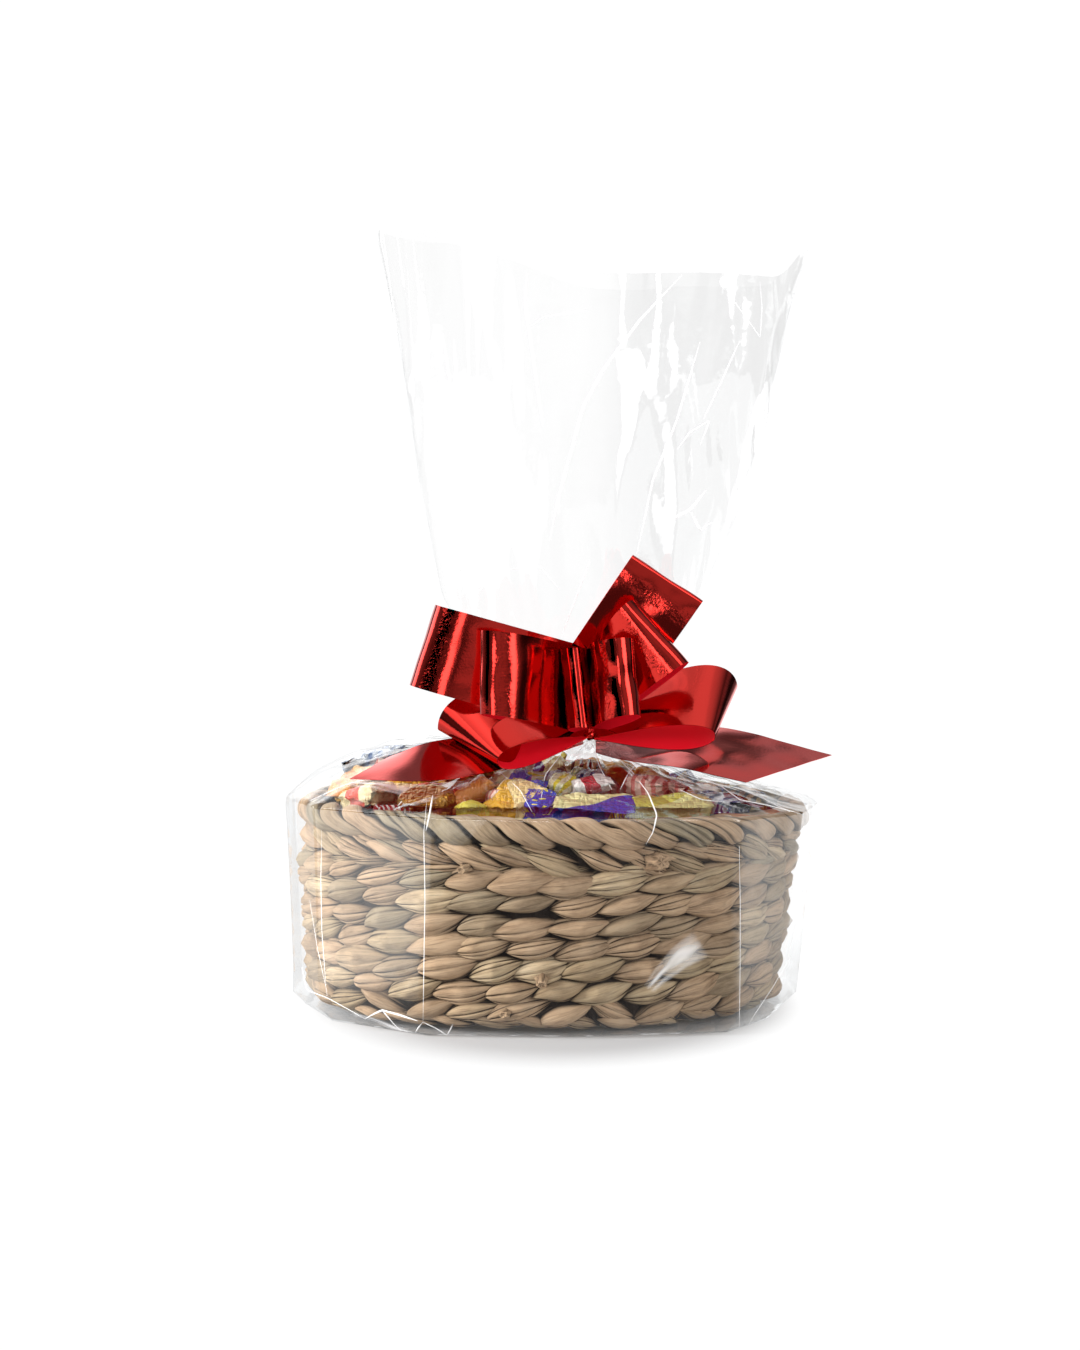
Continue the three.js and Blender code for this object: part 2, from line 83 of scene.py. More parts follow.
def add_node(
    tree: bpy.types.NodeTree, kind: str, inputs: dict | tuple = (), output: int | str = 0, **settings: object
) -> Socket | None:
    """Add one node with its settings and links.

    Args:
        tree: the node tree that takes it.
        kind: Blender's name for the node type, without ShaderNode in front.
        inputs: what each input takes, by its name or number, or in order: a value, a hex colour or a socket.
        output: the name or number of the output that is wanted.
        settings: its properties; stops is a colour ramp's list of positions and hex colours.

    Returns:
        The output, or None if it has none.
    """
    node = tree.nodes.new("ShaderNode" + kind)
    stops = settings.pop("stops", ())
    if stops:
        ramp = node.color_ramp.elements
        while len(ramp) < len(stops):
            ramp.new(0.5)
        for element, (position, colour) in zip(ramp, stops):
            element.position, element.color = position, linear(colour)
    for name, value in settings.items():
        setattr(node, name, value)
    for name, value in inputs.items() if isinstance(inputs, dict) else enumerate(inputs):
        if isinstance(value, Socket):
            tree.links.new(value, node.inputs[name])
        else:
            node.inputs[name].default_value = linear(value) if isinstance(value, str) else value
    return node.outputs[output] if node.outputs else None


def ease(values: np.ndarray, start: float, end: float) -> np.ndarray:
    """Rise smoothly from 0 at start to 1 at end."""
    share = np.clip((values - start) / (end - start), 0, 1)
    return share * share * (3 - 2 * share)


def bump(values: np.ndarray, centre: float, spread: float) -> np.ndarray:
    """A bell that is 1 at the centre."""
    return np.exp(-(((values - centre) / spread) ** 2))


def xyz(x: np.ndarray, y: np.ndarray, z: np.ndarray) -> np.ndarray:
    """Join three coordinates, which are stretched to one shape, into places."""
    return np.stack(np.broadcast_arrays(x, y, z), axis=-1)


def unit(vectors: np.ndarray) -> np.ndarray:
    """Vectors of the same direction with a length of 1."""
    return vectors / np.maximum(np.linalg.norm(vectors, axis=-1, keepdims=True), 1e-9)


def circle(count: int) -> np.ndarray:
    """Angles at even steps all the way round."""
    return np.linspace(0, TURN, count + 1)[:-1]


def waves(points: np.ndarray, seed: int, size: float, count: int = 7) -> np.ndarray:
    """Smooth unevenness in space, as a sum of plane waves in seeded directions.

    Args:
        points: places in millimetres, with x, y, z last.
        seed: the draw's seed.
        size: the length of a wave in millimetres.
        count: how many waves are summed.

    Returns:
        A value for each place, mostly between -1 and 1.
    """
    draw = np.random.default_rng(seed)
    total = np.zeros(points.shape[:-1])
    for _ in range(count):
        direction = unit(draw.normal(size=3))
        length = size * draw.uniform(0.7, 1.5)
        total += np.sin(TURN * (points @ direction) / length + draw.uniform(0, TURN))
    return total / math.sqrt(count) / 1.2


class MeshParts:
    """Grids of points gathered into one mesh, in millimetres."""

    def __init__(self) -> None:
        """Start with nothing."""
        self.points: list[np.ndarray] = []
        self.faces: list[list[int]] = []
        self.slots: list[int] = []
        self.values: dict[str, list[np.ndarray]] = {}
        self.count = 0

    def add_grid(
        self,
        grid: np.ndarray,
        slot: int = 0,
        close_rows: bool = False,
        close_columns: bool = True,
        caps: bool = False,
        **values: np.ndarray,
    ) -> None:
        """Add a grid of points as quads.

        Args:
            grid: rows by columns by 3.
            slot: the material slot of its faces.
            close_rows: whether the last row joins the first.
            close_columns: whether the last column joins the first.
            caps: whether the first and last rows are closed with a face.
            values: for each point, the numbers that its material reads, by name.
        """
        rows, columns = grid.shape[:2]
        index = self.count + np.arange(rows * columns).reshape(rows, columns)
        below = index if close_rows else index[:-1]
        above = np.roll(index, -1, axis=0) if close_rows else index[1:]
        quads = np.stack([below, np.roll(below, -1, 1), np.roll(above, -1, 1), above], axis=-1)
        faces = (quads if close_columns else quads[:, :-1]).reshape(-1, 4).tolist()
        if caps:
            faces += [index[0][::-1].tolist(), index[-1].tolist()]
        self.faces += faces
        self.slots += [slot] * len(faces)
        self.points.append(grid.reshape(-1, 3))
        for name, value in values.items():
            is_vector = np.ndim(value) and np.shape(value)[-1] == 3
            wide = np.broadcast_to(value, grid.shape if is_vector else grid.shape[:2])
            self.values.setdefault(name, []).append(wide.reshape(rows * columns, -1))
        self.count += rows * columns

    def make(self, name: str, materials: list[bpy.types.Material], node: str, slot: str) -> bpy.types.Object:
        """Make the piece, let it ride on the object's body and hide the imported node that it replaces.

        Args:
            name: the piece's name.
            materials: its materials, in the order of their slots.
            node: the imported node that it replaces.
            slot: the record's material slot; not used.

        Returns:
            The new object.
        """
        mesh = bpy.data.meshes.new(name)
        mesh.from_pydata((np.concatenate(self.points) * MILLIMETRE).tolist(), [], self.faces)
        for material in materials:
            mesh.materials.append(material)
        mesh.polygons.foreach_set("material_index", self.slots)
        mesh.polygons.foreach_set("use_smooth", [True] * len(self.faces))
        for key, values in self.values.items():
            flat = np.concatenate(values)
            kind, member = ("FLOAT_VECTOR", "vector") if flat.shape[1] == 3 else ("FLOAT", "value")
            layer = mesh.attributes.new(key, kind, "POINT")
            layer.data.foreach_set(member, flat.astype(np.float32).ravel())
        mesh.validate()
        piece = bpy.data.objects.new(name, mesh)
        bpy.context.scene.collection.objects.link(piece)
        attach(piece, BODY)
        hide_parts(node)
        log.info("%s: %d faces", name, len(self.faces))
        return piece


@dataclass(frozen=True)
class Finish:
    """A surface finish, which becomes one material."""

    name: str

    def material(self) -> bpy.types.Material:
        """Make the material."""
        material = bpy.data.materials.new(self.name)
        material.use_nodes = True
        tree = material.node_tree
        tree.nodes.clear()
        add_node(tree, "OutputMaterial", {"Surface": self.surface(partial(add_node, tree))})
        return material

    def surface(self, add: AddNode) -> Socket:
        """Build the shader with add_node for this tree, and return its output."""
        raise NotImplementedError


@dataclass(frozen=True)
class DriedLeaf(Finish):
    """Water hyacinth leaf stalks, sun-dried and woven flat: matte straw with pinkish and olive leaves."""

    # Leaves dry to different hues, so one leaf is straw and the next pinkish or olive
    hues: tuple = ((0.0, "9c9079"), (0.2, "ad967c"), (0.4, "bca387"), (0.6, "c1a689"), (0.8, "af9d80"), (1.0, "ceba9b"))
    # The colour of painted shade in the crevices between the leaves
    crevice_shade: str = "20140c"
    fibre_mm: float = 0.55
    crease_mm: float = 2.4
    stain_mm: float = 9.0
    nook_mm: float = 3.0
    relief_mm: float = 0.45
    roughness: float = 0.62

    def surface(self, add: AddNode) -> Socket:
        """Colour each leaf by its own tone, streak it along its fibres, and paint shade where it dives, in its folds
        and where it touches the next.
        """
        tone, depth, crease = (
            add("Attribute", (), "Fac", attribute_name="leaf_" + name) for name in ("tone", "depth", "crease")
        )
        place = add("Attribute", (), "Vector", attribute_name="leaf_place")
        # Each pattern is stretched along the leaf, as its fibres are
        fibres, stains, folded = (
            add("TexNoise", {"Vector": add("Mapping", {"Vector": place, "Scale": stretch}), "Scale": 1.0, **noise})
            for stretch, noise in (
                ((0.05 / self.fibre_mm, 1 / self.fibre_mm, 1.0), {"Detail": 3.0, "Roughness": 0.6}),
                ((0.5 / self.stain_mm, 1.6 / self.stain_mm, 1.0), {"Detail": 4.0, "Roughness": 0.6}),
                (
                    (0.055 / self.crease_mm, 1 / self.crease_mm, 1.0),
                    {"Detail": 1.5, "Roughness": 0.5, "Distortion": 0.25},
                ),
            )
        )
        # The leaf is folded lengthwise as it dries, and painted shade darkens the folds' insides
        shaded_fold_stops = ((0.455, BLACK), (0.492, WHITE), (0.508, WHITE), (0.545, BLACK))
        fold = add("ValToRGB", {"Fac": folded}, stops=shaded_fold_stops)
        colour = add("ValToRGB", {"Fac": tone}, stops=self.hues)
        for amount, pattern, stops in (
            (0.45, fibres, ((0.3, "8f8478"), (0.5, WHITE), (0.75, "fffaf2"))),
            (0.7, stains, ((0.28, "a08e7c"), (0.5, "f4ede4"), (0.72, WHITE))),
        ):
            shade = add("ValToRGB", {"Fac": pattern}, stops=stops)
            colour = add("Mix", {0: amount, 6: colour, 7: shade}, 2, data_type="RGBA", blend_type="MULTIPLY")
        # Painted shade darkens a leaf where it dives behind its neighbours, and outlines it where it lies on the next
        dive = add("MapRange", (depth, 0.4, 0.86, 0.0, 0.97), **SMOOTH)
        nook = add("AmbientOcclusion", {"Distance": self.nook_mm * MILLIMETRE}, "AO", samples=6, only_local=True)
        tucked = add("MapRange", (nook, 0.72, 0.3, 0.0, 0.9), **SMOOTH)
        fold_and_dive_shade = add("Math", (fold, 0.2, dive), operation="MULTIPLY_ADD")
        deep = add("Math", (fold_and_dive_shade, tucked), operation="ADD")
        # Painted shade also darkens the valleys of the folds that the mesh marks
        shade = add("Math", (crease, deep), operation="ADD", use_clamp=True)
        colour = add("Mix", {0: shade, 6: colour, 7: self.crevice_shade}, 2, data_type="RGBA")
        grooves = add("Math", (fold, -0.8, fibres), operation="MULTIPLY_ADD")
        relief = add("Bump", {"Height": grooves, "Strength": 0.5, "Distance": self.relief_mm * MILLIMETRE})
        look = {"Roughness": self.roughness, "IOR": 1.45, "Specular IOR Level": 0.35}
        return add("BsdfPrincipled", {"Base Color": colour, "Normal": relief, **look})


class Motif(Enum):
    """How the second colour of a printed wrapper lies on the first."""

    PLAIN = "plain"
    LENGTHWISE = "lengthwise stripes"
    BANDS = "bands round the sweet"
    SLANTED = "slanted stripes"
    FLECKS = "flecks"
    FIELD = "one side in each colour"
    PANEL = "a panel in the middle"


@dataclass(frozen=True)
class PrintedWrapper(Finish):
    """Thin plastic film, printed in two colours and crinkled round a sweet: glossy, with sharp small creases."""

    ground: str = "f0e6c8"
    mark: str = "c03030"
    motif: Motif = Motif.PLAIN
    metal: float = 0.0
    roughness: float = 0.22
    crease_mm: float = 5.0
    relief_mm: float = 0.9
    nook_mm: float = 13.0
    depth: float = 0.76

    def mask(self, add: AddNode) -> Socket | float:
        """Where the second colour is printed.

        Args:
            add: add_node for the material's tree.

        Returns:
            A socket or number from 0 to 1.
        """
        if self.motif is Motif.PLAIN:
            return 0.0
        # Its x runs along the sweet from -1 to 1, its y round it from 0 to 1, and its z is each sweet's own
        place = add("Attribute", (), "Vector", attribute_name="wrap_place")
        along, around = (add("SeparateXYZ", (place,), axis) for axis in "XY")
        if self.motif is Motif.FLECKS:
            spots = add("Mapping", {"Vector": place, "Scale": (6.0, 7.0, 1.0)})
            value, limit = add("TexVoronoi", {"Vector": spots, "Scale": 1.0}), 0.26
        elif self.motif is Motif.PANEL:
            value, limit = add("Math", (along,), operation="ABSOLUTE"), 0.34
        elif self.motif is Motif.FIELD:
            value, limit = add("Math", (along, 0.22, around), operation="MULTIPLY_ADD"), 0.3
        else:
            counts = {Motif.LENGTHWISE: (0.0, 8.0), Motif.BANDS: (4.0, 0.0), Motif.SLANTED: (4.0, 4.0)}[self.motif]
            phase = add("Math", (around, counts[1]), operation="MULTIPLY")
            phase = add("Math", (along, counts[0], phase), operation="MULTIPLY_ADD")
            value, limit = add("Math", (phase,), operation="FRACT"), 0.42
        return add("Math", (value, limit), operation="LESS_THAN")

    def ink(self, code: str) -> tuple[float, float, float, float]:
        """A printed colour, darkened by the same share on every wrapper."""
        red, green, blue, alpha = linear(code)
        return red * self.depth, green * self.depth, blue * self.depth, alpha

    def surface(self, add: AddNode) -> Socket:
        """Print the wrapper, paint shade where the sweets touch, and crease it."""
        inks = {6: self.ink(self.ground), 7: self.ink(self.mark)}
        printed = add("Mix", {0: self.mask(add), **inks}, 2, data_type="RGBA")
        # Painted shade: the sweets darken each other's colour where they touch
        reach = {"Distance": self.nook_mm * MILLIMETRE}
        colour = add("AmbientOcclusion", {"Color": printed, **reach}, samples=5, only_local=True)
        # Creases are folded facets, so cells with sharp borders give them
        size = {"Scale": 1 / (self.crease_mm * MILLIMETRE), "Randomness": 1.0}
        facets = add("TexVoronoi", {"Vector": add("TexCoord", (), "Object"), **size}, distance="MINKOWSKI")
        relief = add("Bump", {"Height": facets, "Strength": 0.5, "Distance": self.relief_mm * MILLIMETRE})
        look = {"Metallic": self.metal, "Roughness": self.roughness, "Coat Weight": 0.5, "Coat Roughness": 0.08}
        return add("BsdfPrincipled", {"Base Color": colour, "Normal": relief, **look})


@dataclass(frozen=True)
class FoilRibbon(Finish):
    """Polypropylene ribbon with a metallised red face, rolled and gathered: a mirror with crinkled bands."""

    colour: str = "c0241b"
    crinkle_mm: float = 1.5
    crinkle_depth_mm: float = 0.3
    wave_mm: float = 24.0
    wave_depth_mm: float = 1.5
    roughness: float = 0.1

    def surface(self, add: AddNode) -> Socket:
        """Tint the mirror and crinkle it where the ribbon was pinched."""
        where = add("TexCoord", (), "Object")
        crinkled = add("Attribute", (), "Fac", attribute_name="crinkle")
        fine = add("TexNoise", {"Vector": where, "Scale": 1 / (self.crinkle_mm * MILLIMETRE), "Detail": 2.0})
        height = add("Math", (fine, crinkled), operation="MULTIPLY")
        # Rolled film keeps long shallow waves that bend its reflections
        slow = add("TexNoise", {"Vector": where, "Scale": 1 / (self.wave_mm * MILLIMETRE), "Detail": 1.0})
        relief = add("Bump", {"Height": slow, "Strength": 0.12, "Distance": self.wave_depth_mm * MILLIMETRE})
        depth = {"Strength": 0.8, "Distance": self.crinkle_depth_mm * MILLIMETRE}
        relief = add("Bump", {"Height": height, "Normal": relief, **depth})
        look = {"Base Color": self.colour, "Metallic": 1.0, "Roughness": self.roughness}
        # The clear film over the metal adds white to its highlights
        coat = {"Coat Weight": 0.28, "Coat Roughness": 0.12, "Coat Normal": relief}
        return add("BsdfPrincipled", {"Normal": relief, **look, **coat})


@dataclass(frozen=True)
class RibbonBack(Finish):
    """The unmetallised back of the ribbon: even red plastic, half matte, with a faint painted glow."""

    colour: str = "d01424"
    grain_mm: float = 1.2
    grain_depth_mm: float = 0.2

    def surface(self, add: AddNode) -> Socket:
        """Give the plastic a faint grain and a painted glow."""
        where = add("TexCoord", (), "Object")
        grain = add("TexNoise", {"Vector": where, "Scale": 1 / (self.grain_mm * MILLIMETRE), "Detail": 2.0})
        relief = add("Bump", {"Height": grain, "Strength": 0.08, "Distance": self.grain_depth_mm * MILLIMETRE})
        look = {"Base Color": self.colour, "Roughness": 0.6, "IOR": 1.49, "Specular IOR Level": 0.03}
        # A painted glow: the back gives off faint red light of its own, in place of light scattered between the two
        # faces of a loop
        painted_glow = {"Emission Color": self.colour, "Emission Strength": 0.17}
        return add("BsdfPrincipled", {"Normal": relief, **look, **painted_glow})


@dataclass(frozen=True)
class ClearFilm(Finish):
    """Clear polypropylene film, cast thin and folded: nearly invisible but for its reflections and creases."""

    straight_on: float = 0.07  # share that both faces of the film reflect when seen straight on
    roughness: float = 0.06
    crumple_mm: float = 26.0
    crumple_depth_mm: float = 3.0

    def surface(self, add: AddNode) -> Socket:
        """Mix a mirror into clear film, more of it where the film is seen edge on."""
        size = {"Scale": 1 / (self.crumple_mm * MILLIMETRE), "Detail": 3.0, "Roughness": 0.55}
        crumple = add("TexNoise", {"Vector": add("TexCoord", (), "Object"), **size})
        relief = add("Bump", {"Height": crumple, "Strength": 0.2, "Distance": self.crumple_depth_mm * MILLIMETRE})
        facing = add("LayerWeight", {"Blend": 0.5, "Normal": relief}, "Facing")
        edge_on = add("Math", (facing, 5.0), operation="POWER")
        # Each further layer of film behind the first adds its own reflection, and a painted sheen adds more in places
        layers = add("Attribute", (), "Fac", attribute_name="film_layers")
        straight = add("Math", (layers, self.straight_on), operation="MULTIPLY")
        share = add("Math", (edge_on, 1 - self.straight_on, straight), operation="MULTIPLY_ADD", use_clamp=True)
        look = {"Base Color": "f4f6f7", "Metallic": 1.0, "Roughness": self.roughness}
        mirror = add("BsdfPrincipled", {"Normal": relief, **look})
        clear = add("BsdfTransparent", {"Color": (0.995, 0.995, 0.995, 1)})
        return add("MixShader", (share, clear, mirror))


@dataclass(frozen=True)
class CreasedFilm(Finish):
    """The same film where a hard fold has whitened it, given a painted glow: a thin milky line that catches the light,
    and the same milky film laid as painted glare.
    """

    whiteness: float = 0.6

    def surface(self, add: AddNode) -> Socket:
        """Mix a glossy milky plastic with a painted glow into clear film."""
        # A painted glow: the fold gives off light of its own, in place of light that runs inside the sheet and comes
        # out at a fold
        painted_glow = {"Emission Color": WHITE, "Emission Strength": 0.3}
        milky = add("BsdfPrincipled", {"Base Color": "fdfdfd", "Roughness": 0.25, "IOR": 1.49, **painted_glow})
        amount = add("Attribute", (), "Fac", attribute_name="milky")
        share = add("Math", (amount, self.whiteness), operation="MULTIPLY")
        return add("MixShader", (share, add("BsdfTransparent"), milky))


@dataclass(frozen=True)
class StudioFloor(Finish):
    """A sheet of white paper, washed out by the backdrop's lights beyond the object's own shadow."""

    shadow_reach: float = 0.125
    washed_out: float = 0.182
    side_stretch: float = 1.2  # the shadow is shorter at the object's sides than in front

    def surface(self, add: AddNode) -> Socket:
        """Matte paper near the object, pure white for the camera further out, and a painted glow in reflections."""
        paper = add("BsdfPrincipled", {"Base Color": "bcbcbd", "Roughness": 0.9})
        where = add("TexCoord", (), "Object")
        stretched = add("VectorMath", (where, (self.side_stretch, 1, 1)), operation="MULTIPLY")
        distance = add("VectorMath", (stretched,), "Value", operation="LENGTH")
        far = add("MapRange", (distance, self.shadow_reach, self.washed_out), **SMOOTH)
        shown = add("MixShader", (far, paper, add("Emission", {"Color": WHITE, "Strength": PURE_WHITE})))
        # Gloss mirrors a painted glow in place of the paper: bright on the left, as if lit there, less on the right and
        # behind, and dim in front
        x, y = (add("SeparateXYZ", (where,), axis) for axis in "XY")
        in_front = add("MapRange", (y, 0.02, -0.12), **SMOOTH)
        mirrored = 0.1
        for place, start, end, level, share in (
            (x, -0.13, -0.24, 1.3, in_front),
            (x, 0.14, 0.3, 0.5, 1.0),
            (y, -0.2, -0.02, 0.75, 1.0),
        ):
            beside = add("MapRange", (place, start, end, 0.0, level), **SMOOTH)
            mirrored = add("Math", (beside, share, mirrored), operation="MULTIPLY_ADD")
        painted_glow = add("Emission", {"Color": WHITE, "Strength": mirrored})
        laid = add("MixShader", (add("LightPath", (), "Is Glossy Ray"), paper, painted_glow))
        return add("MixShader", (add("LightPath", (), "Is Camera Ray"), laid, shown))


@dataclass
class BasketForm:
    """The outline that the basket's pieces share."""

    rim_half_width: float = 149.0
    rim_half_depth: float = 109.5
    foot_half_width: float = 138.5
    foot_half_depth: float = 102.5
    foot_lean: float = -5.5
    foot_tuck: float = 7.0  # how far the wall turns in at its very foot
    tuck_height: float = 12.0
    swell: float = 1.5
    oval_exponent: float = 2.15
    plait_height: float = 110.0
    rise_to_back: float = 2.5
    rise_to_left: float = 1.8
    steps: int = 1440
    angles: np.ndarray = field(init=False)
    lengths: np.ndarray = field(init=False)

    def __post_init__(self) -> None:
        """Measure the rim's outline, so that leaves can be spaced evenly along it."""
        self.angles = np.linspace(0, TURN, self.steps + 1)
        reach = self.reach(self.rim_half_width, self.rim_half_depth, self.angles)
        outline = np.stack([reach * np.cos(self.angles), reach * np.sin(self.angles)], axis=1)
        sides = np.linalg.norm(np.diff(outline, axis=0), axis=1)
        self.lengths = np.concatenate([[0], np.cumsum(sides)])

    @property
    def girth(self) -> float:
        """The length of the rim's outline."""
        return float(self.lengths[-1])

    def reach(self, half_width: np.ndarray, half_depth: np.ndarray, angle: np.ndarray) -> np.ndarray:
        """Distance from the middle to the oval's edge in a direction."""
        across = np.abs(np.cos(angle) / half_width) ** self.oval_exponent
        along = np.abs(np.sin(angle) / half_depth) ** self.oval_exponent
        return (across + along) ** (-1 / self.oval_exponent)

    def angle_at(self, share: np.ndarray) -> np.ndarray:
        """Direction at a share of the rim's length, counted from the right end towards the back."""
        whole = np.floor(share)
        return np.interp((share - whole) * self.girth, self.lengths, self.angles) + whole * TURN

    def rim_lift(self, angle: np.ndarray) -> np.ndarray:
        """How far the rim stands above its mean height in a direction."""
        return self.rise_to_back * np.sin(angle) - self.rise_to_left * np.cos(angle)

    def point(self, angle: np.ndarray, height: np.ndarray, sunk: np.ndarray, lift: np.ndarray = 0.0) -> np.ndarray:
        """A place on the wall.

        Args:
            angle: the direction from the middle.
            height: the height that sets the wall's outline.
            sunk: how far inside the outline.
            lift: how far above that height the place is.

        Returns:
            The place, with x, y, z last.
        """
        share = np.clip(height / self.plait_height, 0, 1)
        tuck = self.foot_tuck * np.maximum(0, 1 - height / self.tuck_height) ** 2
        swell = self.swell * np.sin(math.pi * share**0.7)
        half_width = self.foot_half_width + (self.rim_half_width - self.foot_half_width) * share + swell - tuck
        half_depth = self.foot_half_depth + (self.rim_half_depth - self.foot_half_depth) * share + 0.6 * swell - tuck
        lean = self.foot_lean * (1 - share**3)
        reach = self.reach(half_width, half_depth, angle) - sunk
        return xyz(lean + reach * np.cos(angle), reach * np.sin(angle), height + lift)


@dataclass(frozen=True)
class LeafRow:
    """One row of leaves in the wall."""

    count: int
    height: float
    length: float
    half_width: float
    rise: float  # of the right end over the middle
    bulge: float
    shift: float = 0.0  # of the first leaf, in leaves
    low_bow: float = 0.0  # how far the middle hangs below the line between the ends
    scatter: float = 0.7  # of the leaves' heights
    crossed: float = 0.0  # share of the leaves that slant the other way


@dataclass
class Basket:
    """The woven basket: rows of leaves over stakes, border rows, a plait on the rim and a floor."""

    form: BasketForm
    wall_bottom: float = 2.2
    wall_thickness: float = 9.0
    row_heights: tuple = (24.2, 36.6, 49.0, 61.2, 73.2, 84.6)
    leaves_per_row: int = 29
    row_shift: float = -0.14  # of each row against the one below, in leaves
    leaf: tuple = (45.0, 9.1, 5.0, 8.3)  # length, half width, rise and bulge
    # The rows under the plait, most of which slant the other way, and the thick twisted rows at the foot
    borders: tuple = (
        LeafRow(36, 90.5, 42.0, 4.6, 2.5, 4.6, 0.4, 0.3, 1.0),
        LeafRow(38, 99.5, 42.0, 5.2, -6.0, 5.8, 0.5, 0.0, 0.8),
        LeafRow(33, 95.2, 42.0, 6.6, -5.6, 7.6, 0.0, 0.0, 1.2),
        LeafRow(29, 12.6, 42.0, 8.2, 5.4, 8.6, 0.3, 0.8, 1.0, 0.15),
        LeafRow(31, 5.6, 36.0, 5.0, -3.2, 6.8, 0.1, 0.0, 0.8, 0.3),
    )
    sunk_tips: float = 9.3
    lowest_leaf: float = 0.9
    plait_radius: float = 8.6
    plait_rounds: int = 12
    shown_share: float = 0.68  # of a round, in which a strand lies on the outside
    strand_half_width: float = 4.6
    strand_half_thickness: float = 2.7
    strand_swing: tuple = (126.0, 176.0)  # where a strand starts on the rim's top, and how far it swings, in degrees
    strand_reach: tuple = (4.4, 2.3, 2.6)  # from the rim's core: its least, more in the open, less under the others
    plait_core: float = 5.0
    stakes_sunk: tuple = (9.2, 2.4)  # how far inside the leaves, and how far the stakes stand out of that
    backing_sunk: float = 4.2  # how far the wall's mean face lies inside the leaves
    floor_levels: tuple = (0.3, 5.0)  # of the floor's two faces over the foot of the wall
    # Cut stake ends in the front: x, height, radius and how far each stands out
    stubs: tuple = ((58.0, 93.0, 4.6, 7.5), (-46.0, 90.5, 2.4, 7.5), (-1.5, 31.0, 2.6, 7.0), (-22.0, 12.0, 2.2, 7.5))
    seed: int = 41

    def folded_section(self, draw: np.random.Generator) -> np.ndarray:
        """Draw the lengthwise folds of a leaf.

        Args:
            draw: the source of their unevenness.

        Returns:
            Four rows over the places round the leaf: across it from -1 to 1, how deep the place lies in a fold, how
            far up the cushion between two folds, and 1 on the leaf's back.
        """
        count = int(draw.integers(2, 5))
        lines = np.sort(np.linspace(-0.66, 0.66, count) + draw.uniform(-0.17, 0.17, count))
        stops = [-1.0, *lines, 1.0]
        section = []
        for number, (low, high) in enumerate(zip(stops[:-1], stops[1:])):
            for part in (0.0, 0.14, 0.5, 0.86):
                cushion = (high - low) * math.sin(math.pi * part) ** 0.7
                section.append((low + (high - low) * part, part == 0.0 and number > 0, cushion, 0))
        section += [(1.0, 0, 0, 0), (0.5, 0, 0, 1), (-0.5, 0, 0, 1)]
        return np.array(section, dtype=float).T[:, None, :]

    def add_row(self, parts: MeshParts, row: LeafRow, draw: np.random.Generator) -> None:
        """Add a row of leaves, each a folded spindle that tapers to both ends and dives at them.

        Args:
            parts: the mesh that takes them.
            row: the row's sizes.
            draw: the source of the leaves' unevenness.
        """
        form, vary = self.form, draw.uniform
        along = np.linspace(0, 1, 25)[:, None]
        for leaf in range(row.count):
            across, valley, cushion, is_back = self.folded_section(draw)
            centre = (leaf + row.shift + draw.normal(0, 0.05)) / row.count
            middle = row.height + draw.normal(0, row.scatter)
            size = vary(0.84, 1.2)
            above = np.maximum(np.sin(math.pi * along ** vary(0.6, 0.8)), 0.003) ** vary(0.95, 1.3)
            below = np.maximum(np.sin(math.pi * along ** vary(0.85, 1.1)), 0.003) ** vary(0.95, 1.4)
            width = row.half_width * size * (above * (across > 0) + below * (across <= 0))
            length = row.length * vary(0.88, 1.16) * (0.6 + 0.4 * size)
            rise = row.rise * vary(0.6, 1.4) * (-1 if vary() < row.crossed else 1)
            slope = math.atan2(2 * rise, length)
            # The crown is rounded or, in part, a tent with a ridge
            belly = np.maximum(np.sin(math.pi * along ** vary(0.66, 0.9)), 0.0)
            ridge = vary(0.3, 0.52)
            tent = np.minimum(along / ridge, (1 - along) / (1 - ridge)) ** 0.8
            angular = vary(0.0, 0.85)
            crown = row.bulge * vary(0.85, 1.1) * (belly**0.75 * (1 - angular) + tent * angular)
            lay = vary(0.6, 1.8) * bump(along, 0.12, 0.14) - vary(1.4, 2.6) * bump(along, 1.0, 0.24)
            out = crown * (0.05 + 0.95 * (1 - np.abs(across) ** 2.4)) + lay + vary(-0.9, 0.6) * belly
            # Some leaves are folded over the stake, with a ridge across them, and some lie askew
            out = out + vary(-0.2, 1.2) * bump(along - 0.12 * across, ridge, 0.07) * (1 - across**2)
            out = out + vary(-2.2, 1.6) * across * belly
            # A fold is sharpest where the leaf is gathered at its tips
            gathered = vary(0.15, 0.6) + vary(0.4, 0.9) * np.abs(2 * along - vary(0.7, 1.2))
            crease = valley * np.clip(gathered, 0, 1) * vary(0.7, 1.0, across.shape)
            out = out + (1.4 * cushion - 1.3 * crease) * np.minimum(1, belly * 2.5 + 0.15) - self.sunk_tips
            out = out * (1 - is_back) + is_back * (crown * 0.05 - self.sunk_tips - 0.9)
            bow = (vary(-0.9, 0.9) - row.low_bow) * np.sin(math.pi * along)
            offset = (along - 0.5) * length - across * width * math.sin(slope)
            raised = rise * (2 * along - 1) + bow + across * width * math.cos(slope)
            angle = form.angle_at(centre + offset / form.girth)
            lift = form.rim_lift(angle) * (middle / form.plait_height)
            grid = form.point(angle, np.maximum(middle + raised, self.lowest_leaf), -out, lift)
